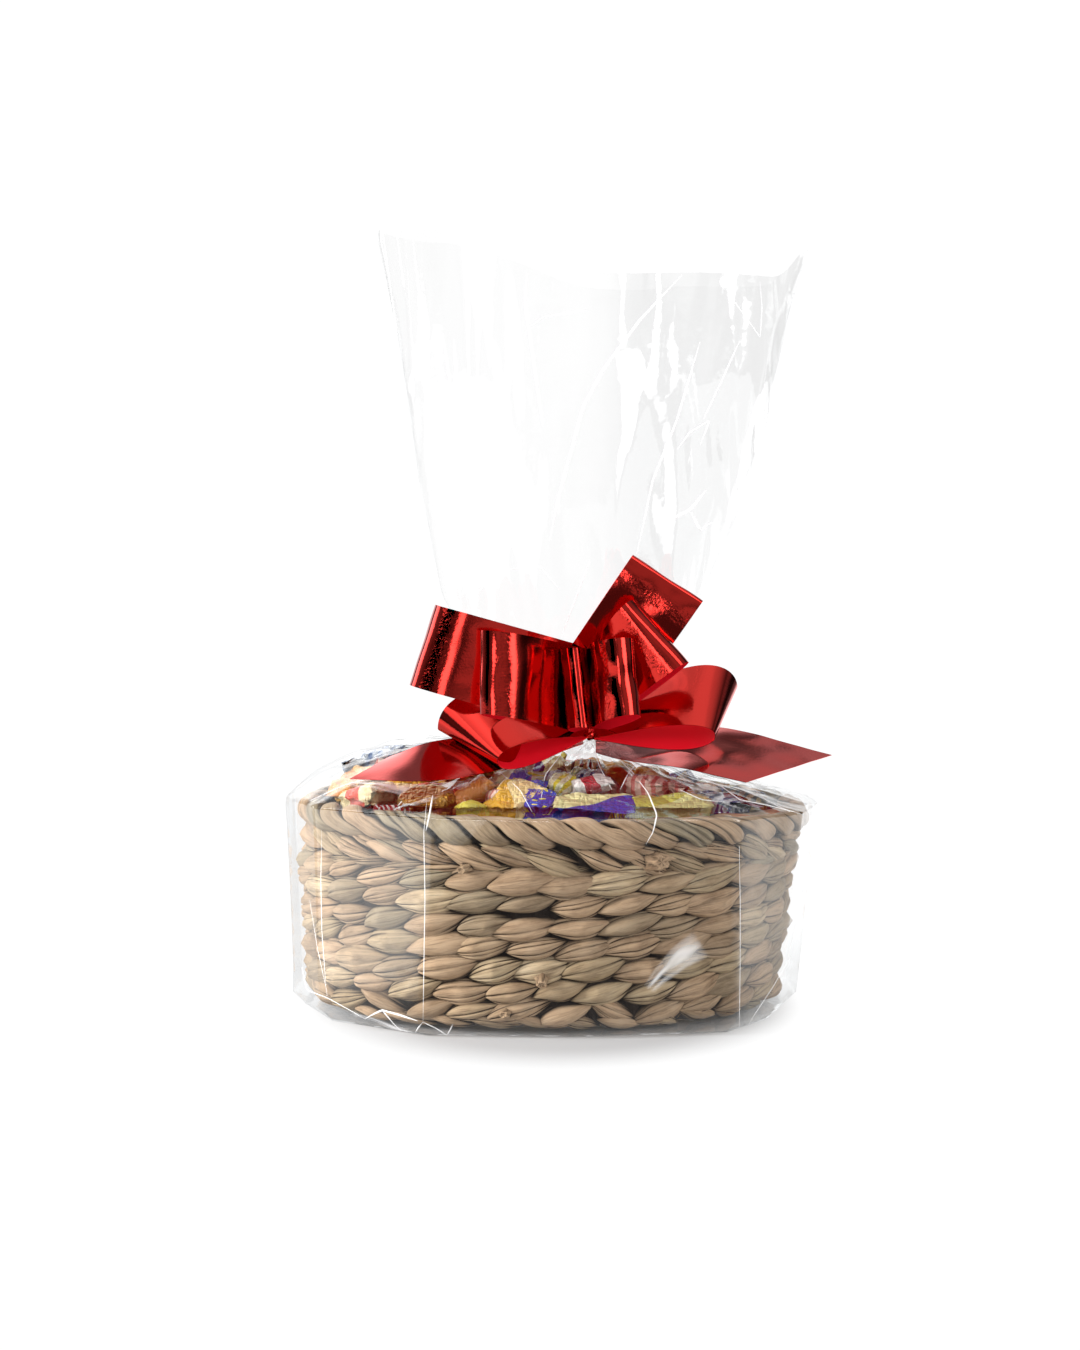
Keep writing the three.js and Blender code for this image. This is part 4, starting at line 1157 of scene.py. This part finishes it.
@dataclass
class FilmBag:
    """The clear bag: pouch round the basket, roof over the sweets, gathered neck and open collar."""

    film: FilmForm
    # Sharp folds in the film, and painted glare on it: the width of each, and the places in the picture that its line
    # passes
    folds: tuple = (
        # up the pouch's corners
        (0.5, (423, 1023), (424, 960), (425, 900), (424, 832), (427, 798)),
        (0.55, (739, 1036), (740, 960), (740, 900), (739, 846)),
        (0.5, (327, 998), (322, 930), (321, 880), (322, 830)),
        (0.4, (310, 900), (318, 950), (328, 996)),
        (0.5, (812, 830), (803, 890), (787, 960)),
        (0.5, (791, 956), (772, 988), (752, 1018), (743, 1035)),
        # over the sweets
        (0.8, (616, 757), (632, 772), (648, 793), (657, 815), (653, 832), (646, 844)),
        (0.6, (620, 790), (628, 774), (635, 765), (645, 765)),
        (0.5, (592, 745), (600, 768), (612, 790)),
        (0.7, (700, 777), (722, 787), (740, 800), (770, 806), (805, 815)),
        (0.7, (411, 790), (404, 799), (398, 806)),
        (0.9, (433, 794), (430, 812), (426, 831)),
        (0.5, (310, 801), (343, 786), (367, 779), (397, 777), (428, 781)),
        (0.5, (540, 756), (520, 766), (470, 775), (430, 783)),
        (0.5, (655, 758), (690, 764), (745, 778), (800, 790)),
        (0.5, (560, 756), (545, 775), (541, 800)),
        (0.4, (500, 772), (520, 790), (532, 812)),
        (0.5, (745, 780), (765, 800), (790, 812)),
        (0.5, (680, 790), (702, 800), (730, 803)),
        # painted glare, laid as milky film where the film lies on the wall, on the plait and on the floor
        (15.0, (648, 990), (662, 974), (680, 957), (702, 943)),
        (13.0, (352, 784), (378, 785), (404, 790), (428, 803)),
        (6.0, (352, 1013), (375, 1019), (398, 1029), (425, 1036)),
        # the corner turned under at the foot
        (1.1, (366, 1018), (382, 1010), (400, 1015), (418, 1021)),
        (0.9, (382, 1010), (396, 1026), (412, 1038)),
        (0.8, (412, 1038), (418, 1028), (423, 1022)),
        (0.8, (423, 1022), (436, 1028), (447, 1035)),
        (0.6, (447, 1035), (450, 1030), (453, 1024)),
        (0.5, (302, 967), (307, 990), (328, 998), (366, 1019)),
        # up the collar
        (0.5, (408, 445), (397, 332), (383, 233)),
        (0.5, (759, 445), (795, 318), (803, 290)),
        (0.9, (527, 273), (525, 303), (543, 427)),
        (0.9, (413, 240), (427, 353), (428, 453)),
        (0.7, (443, 333), (455, 420), (470, 513)),
        (1.4, (682, 275), (640, 320), (603, 370), (583, 407), (557, 503), (550, 540)),
        (1.0, (700, 342), (677, 420), (653, 480), (637, 553)),
        (0.9, (740, 340), (722, 380), (703, 420)),
        (0.6, (723, 285), (742, 312), (760, 337), (762, 308), (760, 282)),
        (0.6, (530, 327), (543, 317), (587, 310)),
        (0.5, (440, 590), (470, 560), (520, 545)),
        (0.5, (470, 600), (500, 570), (540, 566), (560, 590)),
        (0.8, (677, 450), (690, 432), (710, 420), (700, 445)),
        (1.6, (670, 520), (690, 510), (706, 490)),
        (1.3, (690, 510), (700, 530), (712, 522)),
        (0.6, (560, 640), (575, 600), (590, 560)),
    )
    columns_per_side: int = 18
    crease_share: float = 0.05  # of a side, over which the film bends at a fold
    bottom_level: float = 0.15
    bottom_rings: tuple = (0.02, 0.4, 0.8, 0.97, 1.0)
    foot_share: float = 0.06  # of the pouch's height, over which it spreads to its full size
    widest_fold: float = 4.0
    fold_rise: float = 0.35  # of a fold, in widths
    fold_lift: float = 0.15  # of a fold above the film
    lift: float = 0.4  # of a glare above the film

    def columns(self) -> np.ndarray:
        """Places round the plan, closer together at the folded corners."""
        inner = np.linspace(self.crease_share, 1 - self.crease_share, self.columns_per_side - 1)
        side = np.concatenate([[0.0], inner])
        return np.concatenate([k + side for k in range(len(self.film.foot))])

    def pouch(self, places: np.ndarray, angle: np.ndarray) -> list[np.ndarray]:
        """Rings from the middle of the bag's bottom, up its sides and over the sweets to the neck."""
        film = self.film
        foot, shoulder = film.plan(film.foot, places), film.plan(film.shoulder, places)
        lift = film.form.rim_lift(angle)
        rings = [xyz(*(foot * film.foot_inset * share).T, self.bottom_level) for share in self.bottom_rings]
        for share in (0.012, 0.035, self.foot_share, *np.linspace(0.1, 0.985, 26)):
            inset = film.foot_inset + (1 - film.foot_inset) * min(1.0, share / self.foot_share)
            plan = (foot + (shoulder - foot) * share) * inset
            rings.append(xyz(*plan.T, film.shoulder_height * share + lift * share))
        neck = np.array(film.neck)
        for share in np.linspace(1, 0.075, 46) ** 1.25:
            rings.append(xyz(*(neck + (shoulder - neck) * share).T, film.roof_height(share, angle)))
        return rings

    def collar(self, angle: np.ndarray) -> list[np.ndarray]:
        """Rings of the tied neck and of the collar that opens above it."""
        film = self.film
        ring = film.neck_radius * np.array([np.cos(angle), np.sin(angle)])
        rings = [xyz(film.neck[0] + ring[0], film.neck[1] + ring[1], film.neck_height + rise) for rise in (1, 4)]
        # The sections' sizes run on smoothly between them
        heights, *runs = np.array(film.collar, dtype=float).T
        fine = np.linspace(heights[0], heights[-1], 400)
        centres, widths, depths = (
            np.convolve(np.pad(np.interp(fine, heights, run), 10, mode="edge"), np.ones(21) / 21, mode="valid")
            for run in runs
        )
        # The lip is highest at the left, dips along its middle and ends in a point at the right
        top = film.lip_height
        x_top = np.interp(top, fine, centres) + np.interp(top, fine, widths) * np.cos(angle)
        lip = top - 13 * np.tanh((x_top + 12) / 32) + 19 * bump(x_top, 150, 10) + 4 * bump(x_top, -101, 30)
        lip = lip + 3 * np.sin(angle)
        low = film.neck_height + film.neck_length
        for share in np.linspace(0, 1, 90):
            height = low + (lip - low) * share
            fold = 1 + 0.12 * np.cos(5 * angle + height / 90)
            x = np.interp(height, fine, centres) + np.interp(height, fine, widths) * np.cos(angle)
            rings.append(xyz(x, film.neck[1] + np.interp(height, fine, depths) * np.sin(angle) * fold, height))
        return rings

    def creased(self, grid: np.ndarray, angle: np.ndarray) -> np.ndarray:
        """Fold and crumple the film along its normals: gathers at the neck, facets on the roof and collar."""
        round_step = np.roll(grid, -1, axis=1) - np.roll(grid, 1, axis=1)
        normal = unit(np.cross(round_step, np.gradient(grid, axis=0)))
        height = grid[..., 2]
        neck = self.film.neck_height + 3
        near_neck = np.exp(-np.abs(height - neck) / 26)
        in_collar = ease(height, neck, neck + 30)
        on_roof = ease(height, 116, 126) * (1 - in_collar)
        gathers = np.abs(np.sin(11 * angle + 0.6)) + 0.6 * np.abs(np.sin(17 * angle + 2.1 + height / 40))
        facets = np.abs(waves(grid, 12, 60)) + 0.5 * np.abs(waves(grid, 13, 27))
        tall = grid * np.array([1.0, 1.0, 0.16])
        folds = np.abs(waves(tall, 14, 44)) * 1.6 + 0.6 * np.abs(waves(tall, 15, 19))
        sides = waves(grid * np.array([1, 1, 0.4]), 16, 70) * 0.5
        push = -2.2 * near_neck * (gathers - 0.8) - 1.5 * on_roof * facets
        push = push + in_collar * (2.1 * (0.9 - folds) - 1.4 * facets * (1 - ease(height, 190, 260)))
        push = push + sides * ease(height, 6, 20) * (1 - ease(height, 105, 116)) - 0.2
        return grid + normal * push[..., None]

    def layers(self, grid: np.ndarray) -> np.ndarray:
        """How much reflection each place has, in sheets' worth: more at the gathered neck, a painted sheen beside the
        basket and over the right of the roof, and less up the collar.
        """
        x, y, height = (grid[..., k] for k in range(3))
        in_wall = 1 - ease(height, 118, 124)
        beside = 0.9 * ease(-x, 62, 80) * ease(-y, 30, 60) + ease(x, 92, 104) * ease(-y, 10, 50)
        over_right = ease(x, 18, 55) * ease(-y, -20, 20) * ease(height, 121, 127)
        at_neck = 2.0 * np.exp(-np.abs(height - 152) / 9)
        return 1 + beside * in_wall + 1.6 * over_right + at_neck - 0.48 * ease(height, 165, 200)

    def build(self) -> None:
        """Make the bag and the folds in it."""
        places = self.columns()
        from_neck = self.film.plan(self.film.shoulder, places) - np.array(self.film.neck)
        angle = np.arctan2(from_neck[:, 1], from_neck[:, 0])
        rings = np.stack(self.pouch(places, angle) + self.collar(angle))
        creased = self.creased(rings, angle)
        flat_rows = len(self.bottom_rings)
        creased[:flat_rows] = rings[:flat_rows]
        parts, folds = MeshParts(), MeshParts()
        parts.add_grid(creased, film_layers=self.layers(creased))
        clear = ClearFilm("clear polypropylene film, folded").material()
        bag = parts.make("clear_film_bag", [clear], "film_bag", "clear_film")
        tree = BVHTree.FromPolygons([v.co for v in bag.data.vertices], [p.vertices for p in bag.data.polygons])
        for width, *line in self.folds:
            self.add_fold(folds, tree, width, np.array(line, dtype=float))
        milky = CreasedFilm("polypropylene film, whitened in its folds").material()
        folds.make("clear_film_folds", [milky], "film_bag", "clear_film")

    def add_fold(self, parts: MeshParts, tree: BVHTree, width: float, line: np.ndarray) -> None:
        """Raise one narrow fold, or a patch of painted glare, on the bag, along the line where the camera sees it.

        Args:
            parts: the mesh that takes it.
            tree: the bag's faces.
            width: its width.
            line: its places in the picture.
        """
        lengths = np.concatenate([[0], np.cumsum(np.linalg.norm(np.diff(line, axis=0), axis=1))])
        at = np.linspace(0, lengths[-1], max(4, int(lengths[-1] / 4)))
        hits = []
        for x, y in zip(*(np.interp(at, lengths, line[:, k]) for k in (0, 1))):
            aim = Vector(((x - PICTURE[0] / 2) / FOCAL_PX, 1, (HORIZON_ROW - y) / FOCAL_PX)).normalized()
            hit, normal, _, _ = tree.ray_cast(Vector(CAMERA_PLACE) * MILLIMETRE, aim)
            if hit is not None:
                hits.append((np.array(hit) / MILLIMETRE, np.array(normal)))
        if len(hits) < 3:
            return
        points, normals = (np.array(each) for each in zip(*hits))
        normals *= np.sign(np.sum(normals * (np.array(CAMERA_PLACE) - points), axis=1, keepdims=True))
        sides = unit(np.cross(np.gradient(points, axis=0), normals))
        share = np.linspace(0, 1, len(points))[:, None]
        if width > self.widest_fold:
            # Not a fold but a painted streaky glare, which fades out to all sides
            across = np.linspace(-1, 1, 25)[None, :]
            half = width * (0.25 + 0.35 * share)
            grid = points[:, None, :] + (across * half)[..., None] * sides[:, None, :]
            grid = grid + self.lift * normals[:, None, :]
            grid[..., 2] = np.maximum(grid[..., 2], self.lift)
            fade = (1 - across**2) * np.sin(math.pi * share) ** 0.7
            milky = np.clip(fade * (0.7 + 0.4 * waves(xyz(share * 9, across * 12, 0.0), 5, 7)), 0, 1)
        else:
            half = width / 2 * np.minimum(1, 0.15 + 4 * np.minimum(share, 1 - share))
            crest = points + normals * width * self.fold_rise
            grid = np.stack([points - sides * half, crest, points + sides * half], axis=1)
            grid, milky = grid + self.fold_lift * normals[:, None, :], 1.0
        parts.add_grid(grid, close_columns=False, milky=milky)


@dataclass(frozen=True)
class Loop:
    """A loop of ribbon that leaves the seam, turns at its end and comes back."""

    name: str
    base: tuple
    end: tuple
    bulge: float
    squareness: float = 1.0
    upper: tuple | None = None  # bulge of the upper sheet at its two edges
    lower: tuple | None = None  # and of the lower sheet
    crinkles: tuple = ((0.38, 0.025), (0.63, 0.02))  # places along the loop and how wide each is
    ripple: float = 0.5

    def edges(self, steps: int) -> tuple[np.ndarray, np.ndarray, np.ndarray]:
        """The ribbon's two edges and how crinkled it is along them.

        Args:
            steps: how many places along the loop.

        Returns:
            Two lists of points and one of numbers.
        """
        base, end = np.array(self.base, dtype=float), np.array(self.end, dtype=float)
        across = end[1] - end[0] + base[1] - base[0]
        side = unit(np.cross(end.sum(0) - base.sum(0), across))
        if self.upper and side[2] < 0:
            side = -side
        share = np.linspace(0, 1, steps)
        turn = share * TURN
        reach = ((1 - np.cos(turn)) / 2) ** (1 / self.squareness)
        swing = np.sin(turn) * np.sqrt(reach) * 1.3
        upper, lower = self.upper or (self.bulge,) * 2, self.lower or (self.bulge,) * 2
        apart = np.where(share < 0.5, 0.4, -0.4)
        draw = np.random.default_rng(sum(map(ord, self.name)))
        ripple = np.zeros(steps)
        for waves_along in (2, 3, 5):
            ripple += draw.uniform(0.4, 1.0) * np.sin(waves_along * turn + draw.uniform(0, TURN))
        ripple *= self.ripple * np.sin(turn / 2) ** 2
        edges = []
        for edge in (0, 1):
            bulge = np.where(share < 0.5, upper[edge], lower[edge])
            line = base[edge] * (1 - reach)[:, None] + end[edge] * reach[:, None]
            edges.append(line + side * (swing * bulge + apart)[:, None])
        normal = unit(np.cross(np.gradient((edges[0] + edges[1]) / 2, axis=0), across)) * ripple[:, None]
        crinkle = 0.1 + sum(bump(share, *place) for place in (*self.crinkles, (0, 0.05), (1, 0.05)))
        return edges[0] + normal, edges[1] + normal, crinkle


@dataclass
class FoilBow:
    """A pull bow of 50 mm foil ribbon: eight loops and two tails drawn together on a seam."""

    film: FilmForm
    thickness: float = 0.3
    columns: int = 17
    loop_steps: int = 96
    tail_steps: int = 40
    seam: tuple = (21.0, -31.0, 157.0, 207.0)  # x, y, lowest and highest point
    seam_radius: float = 2.6
    stem: tuple = (-45.0, -8.2)  # from the seam back to the tie
    stem_radius: float = 3.1
    tie_radius: float = 12.1
    tie_height: float = 156.5
    tie_section: tuple = (0.75, 1.9)  # half its thickness and half its height

    loops: tuple = (
        Loop("upper left", ((20, -28, 207), (20, -28, 157)), ((-68, -38, 231.5), (-83, -38, 186)), 18, 1.5),
        Loop("front left", ((19, -33, 206), (19, -33, 157)), ((-39, -74, 217), (-39, -78, 171)), 10, 1.5),
        Loop("front centre", ((22, -35, 206), (22, -35, 157)), ((37, -80, 213), (42, -84, 171)), 10),
        Loop("front small", ((20, -36, 205), (20, -36, 157)), ((8, -62, 207), (13, -66, 163)), 7),
        Loop("front right", ((23, -33, 204), (24, -33, 158)), ((44, -58, 234), (74, -64, 199)), 10),
        Loop("upper right", ((5, -28, 200), (38, -27, 166)), ((44.8, -41, 259.3), (84.7, -41, 233)), 6),
        Loop(
            "lower right", ((24, -12, 168), (23, -48, 155.5)), ((108, -12, 184), (90.8, -54, 158)), 10, 1.25, (17, 6.5),
            (5, 8), (), 0.0,
        ),
        Loop(
            "lower left", ((19, -9, 168), (20, -45, 156.5)), ((-65.9, -41, 161.1), (-31.2, -72, 144.9)), 8, 1.25,
            (20, 6), (4, 7.5), (), 0.0,
        ),
    )
    # The far and near edge of each tail
    tails: tuple = (
        (
            "right",
            ((25, -10, 153), (60, -14, 154), (98.5, -12, 159.5), (161, -27, 144.5)),
            ((24, -42, 147), (40, -60, 144.2), (70, -73, 141), (105.5, -76, 133.5)),
        ),
        (
            "left",
            ((18, -10, 157), (-25, -32, 158.5), (-68.5, -45, 153.5), (-92.5, -50, 145.5)),
            ((17, -38, 152), (-16, -56, 142.4), (-62, -86, 135.6), (-112, -78, 135.5)),
        ),
    )

    def strip(self, edges: tuple, crinkle: np.ndarray, outside: np.ndarray, seed: int, buckle: float) -> MeshParts:
        """A strip of ribbon, foil on one face and plain on the other.

        Args:
            edges: its two edges, each a list of points.
            crinkle: how crinkled it is along its length.
            outside: a direction that the foil faces at the middle of the strip.
            seed: the seed of its unevenness.
            buckle: how far it waves in and out of its smooth curve.

        Returns:
            The strip.
        """
        across = np.linspace(0, 1, self.columns)[None, :, None]
        sheet = edges[0][:, None, :] * (1 - across) + edges[1][:, None, :] * across
        normal = unit(np.cross(np.gradient(sheet, axis=0), np.gradient(sheet, axis=1)))
        if np.dot(normal[len(sheet) // 2, self.columns // 2], outside) < 0:
            normal = -normal
        crinkle = crinkle[:, None]
        uneven = buckle * waves(sheet, seed, 24) + 0.32 * (crinkle - 0.1) * waves(sheet, seed + 1, 4)
        sheet = sheet + normal * uneven[..., None]
        half = self.thickness / 2
        front, back = sheet + normal * half, sheet - normal * half
        parts = MeshParts()
        parts.add_grid(front, 0, close_columns=False, crinkle=crinkle)
        parts.add_grid(back[:, ::-1], 1, close_columns=False, crinkle=crinkle)
        # Its two long rims and its two ends
        for rim, value in ((np.s_[:, 0], crinkle), (np.s_[:, -1], crinkle), (0, crinkle[0]), (-1, crinkle[0])):
            parts.add_grid(np.stack([front[rim], back[rim]], axis=1), 0, close_columns=False, crinkle=value)
        return parts

    def ribbon_pieces(self) -> list[tuple[str, MeshParts]]:
        """Each loop and tail as a piece of its own."""
        pieces = []
        for loop in self.loops:
            *edges, crinkle = loop.edges(self.loop_steps)
            middle = edges[0] + edges[1]
            outside = middle[self.loop_steps // 2] - middle[0]
            strip = self.strip(edges, crinkle, outside, sum(map(ord, loop.name)), 0.7 * loop.ripple)
            pieces.append(("bow_loop_" + loop.name.replace(" ", "_"), strip))
        share = np.linspace(0, 1, self.tail_steps)
        for name, *tail in self.tails:
            edges = [self.curve(np.array(edge, dtype=float), share) for edge in tail]
            pieces.append(("bow_tail_" + name, self.strip(edges, 0.08 + bump(share, 0, 0.08), UP, len(name), 0.15)))
        return pieces

    def curve(self, points: np.ndarray, share: np.ndarray) -> np.ndarray:
        """A smooth curve through a few points."""
        padded = np.concatenate([[2 * points[0] - points[1]], points, [2 * points[-1] - points[-2]]])
        at = share * (len(points) - 1)
        index = np.minimum(at.astype(int), len(points) - 2)
        part = (at - index)[:, None]
        p0, p1, p2, p3 = (padded[index + k] for k in range(4))
        cubic = (3 * p1 - p0 - 3 * p2 + p3) * part**3
        return 0.5 * (2 * p1 + (p2 - p0) * part + (2 * p0 - 5 * p1 + 4 * p2 - p3) * part**2 + cubic)

    def knot(self) -> MeshParts:
        """The crinkled ribbon in the seam, its stem and the tie round the bag's neck."""
        parts = MeshParts()
        x, y, low, high = self.seam
        around = circle(24)[None, :]
        height = np.linspace(low, high, 60)[:, None]
        uneven = 1 + 0.25 * np.sin(height * 1.3 + 3 * np.sin(around)) + 0.2 * np.sin(7 * around + height * 0.4)
        radius = self.seam_radius * uneven
        grid = xyz(x + radius * np.cos(around), y + 1.4 * radius * np.sin(around), height)
        parts.add_grid(grid, 0, caps=True, crinkle=1.0)
        depth = np.linspace(*self.stem, 40)[:, None]
        radius = self.stem_radius * (1 + 0.15 * np.sin(5 * around + depth * 0.5))
        grid = xyz(x + radius * np.sin(around), depth, low + 0.5 + radius * np.cos(around))
        parts.add_grid(grid, 0, caps=True, crinkle=0.8)
        angle, section = circle(64)[:, None], circle(8)[None, :]
        reach = self.tie_radius + self.tie_section[0] * np.cos(section)
        level = self.tie_height + self.tie_section[1] * np.sin(section)
        x, y = self.film.neck
        grid = xyz(x + reach * np.cos(angle), y + reach * np.sin(angle), level)
        parts.add_grid(grid, 0, close_rows=True, crinkle=0.5)
        return parts

    def build(self) -> None:
        """Make the bow."""
        materials = [
            FoilRibbon("metallised polypropylene ribbon, rolled").material(),
            RibbonBack("polypropylene ribbon back, extruded").material(),
        ]
        for name, parts in [*self.ribbon_pieces(), ("bow_seam_and_tie", self.knot())]:
            parts.make(name, materials, "bow", "red_foil")


@dataclass
class Studio:
    """The pale floor, the soft lights and the camera of the photograph."""

    floor_half: float = 6000.0
    floor_level: float = -0.3
    matte_share: float = 0.45  # of the room's light, that matte surfaces receive
    aim: tuple = (0.0, 0.0, 0.16)  # where the softboxes point, in metres
    # The softboxes: name, place and size in metres, and power in watts
    softboxes: tuple = (
        ("softbox_left", (-1.42, -0.42, 0.6), (0.4, 0.6), 42),
        ("softbox_right", (1.2, -0.6, 0.5), (0.4, 0.9), 4),
        ("softbox_front", (-0.1, -1.45, 0.8), (0.9, 0.4), 6),
        ("softbox_top", (0.0, 0.45, 1.3), (1.3, 0.8), 7),
    )
    dim_room: tuple = (0.44, 0.6, 0.015, 0.24)  # the uneven room: the range of its noise, and of its level
    # The lit backdrop behind, a pale ceiling, narrow lamps and black flags in the room that gloss reflects: how near
    # a direction is to each one's own where it starts and where it is full, its level, and its own direction
    patches: tuple = (
        (0.66, 0.84, 1.0, (0, 1, 0)),
        (0.5, 0.97, 0.95, (0, 0, 1)),
        (0.955, 0.985, 1.2, (-0.3, 0.8, 0.52)),
        (0.97, 0.985, 3.0, (-0.88, 0.42, 0.24)),
        (0.9885, 0.9945, 4.5, (-0.22, -0.97, 0.03)),
        (0.9, 0.985, 1.2, (-0.5, -0.34, 0.8)),
        (0.982, 0.992, 1.8, (-0.82, -0.33, 0.47)),
        (0.9, 0.975, 0.16, (-0.3, -0.93, 0.1)),
        (0.97, 0.984, 5.0, (0.74, -0.62, 0.25)),
        (0.978, 0.99, 3.0, (0.5, -0.55, 0.67)),
        (0.92, 0.975, 0.25, (0.3, -0.9, 0.3)),
        (0.988, 0.996, -0.5, (-0.15, 0.62, 0.77)),
        (0.972, 0.988, -0.9, (0.05, 0.93, 0.36)),
        (0.996, 0.9984, -0.6, (0.185, 0.715, 0.672)),
        (0.82, 1.0, -0.14, (-0.84, -0.52, 0.15)),
    )

    def floor(self) -> None:
        """Lay the floor."""
        mesh = bpy.data.meshes.new("studio_floor")
        half, level = self.floor_half * MILLIMETRE, self.floor_level * MILLIMETRE
        corners = [(-half, -half, level), (half, -half, level), (half, half, level), (-half, half, level)]
        mesh.from_pydata(corners, [], [(0, 1, 2, 3)])
        mesh.materials.append(StudioFloor("white studio paper").material())
        floor = bpy.data.objects.new("studio_floor", mesh)
        bpy.context.scene.collection.objects.link(floor)

    def world(self) -> None:
        """White behind the object, and a room that is bright above and dark in front for its reflections."""
        world = bpy.data.worlds.new("studio")
        bpy.context.scene.world = world
        world.use_nodes = True
        world.node_tree.nodes.clear()
        add = partial(add_node, world.node_tree)
        direction = add("TexCoord", (), "Generated")
        # A dim uneven room, with each patch added to it
        uneven = add("TexNoise", {"Vector": direction, "Scale": 2.2, "Detail": 0.0})
        bright = add("MapRange", (uneven, *self.dim_room), **SMOOTH)
        for low, high, level, axis in self.patches:
            towards = add("VectorMath", (direction, Vector(axis).normalized()), "Value", operation="DOT_PRODUCT")
            patch = add("MapRange", (towards, low, high, 0.0, level), **SMOOTH)
            bright = add("Math", (patch, bright), operation="ADD")
        # Matte surfaces take less from the room, so that the softboxes model them
        is_matte = add("LightPath", (), "Is Diffuse Ray")
        share = add("Math", (is_matte, self.matte_share - 1, 1.0), operation="MULTIPLY_ADD")
        bright = add("Math", (bright, share), operation="MULTIPLY")
        room = add("Background", {"Color": WHITE, "Strength": bright})
        white = add("Background", {"Color": WHITE, "Strength": PURE_WHITE})
        add("OutputWorld", {"Surface": add("MixShader", (add("LightPath", (), "Is Camera Ray"), room, white))})

    def softbox(self, name: str, place: tuple, size: tuple, power: float) -> None:
        """Hang an area light that points at the object.

        Args:
            name: the light's name.
            place: where it hangs, in metres.
            size: its width and height, in metres.
            power: its power, in watts.
        """
        light = bpy.data.lights.new(name, "AREA")
        light.shape = "RECTANGLE"
        light.size, light.size_y = size
        light.energy = power
        lamp = bpy.data.objects.new(name, light)
        lamp.location = place
        lamp.rotation_euler = (Vector(self.aim) - Vector(place)).to_track_quat("-Z", "Y").to_euler()
        # The foil and the film mirror the room instead, where the lamps are as large as the photograph shows them
        lamp.visible_glossy = False
        bpy.context.scene.collection.objects.link(lamp)

    def camera(self) -> None:
        """Stand the camera where the photograph was taken: level, with the horizon above its middle."""
        data = bpy.data.cameras.new("camera")
        data.sensor_width = 36.0
        data.lens = FOCAL_PX / PICTURE[1] * data.sensor_width
        data.shift_y = (HORIZON_ROW - PICTURE[1] / 2) / PICTURE[1]
        data.clip_start, data.clip_end = 0.05, 50
        camera = bpy.data.objects.new("camera", data)
        camera.location = Vector(CAMERA_PLACE) * MILLIMETRE
        camera.rotation_euler = (math.pi / 2, 0, 0)
        bpy.context.scene.collection.objects.link(camera)
        bpy.context.scene.camera = camera

    def build(self) -> None:
        """Set up the studio."""
        self.camera()
        self.floor()
        self.world()
        for softbox in self.softboxes:
            self.softbox(*softbox)
        view = bpy.context.scene.view_settings
        view.view_transform = "Standard"
        view.look = "None"


def main() -> None:
    """Build the studio and each part of the gift basket."""
    logging.basicConfig(level=logging.INFO, format="%(name)s %(message)s")
    form = BasketForm()
    film = FilmForm(form)
    for part in (Studio(), Basket(form), SweetsHeap(form, film), FilmBag(film), FoilBow(film)):
        part.build()
        log.info("%s is built", type(part).__name__)


if __name__ == "__main__":
    main()
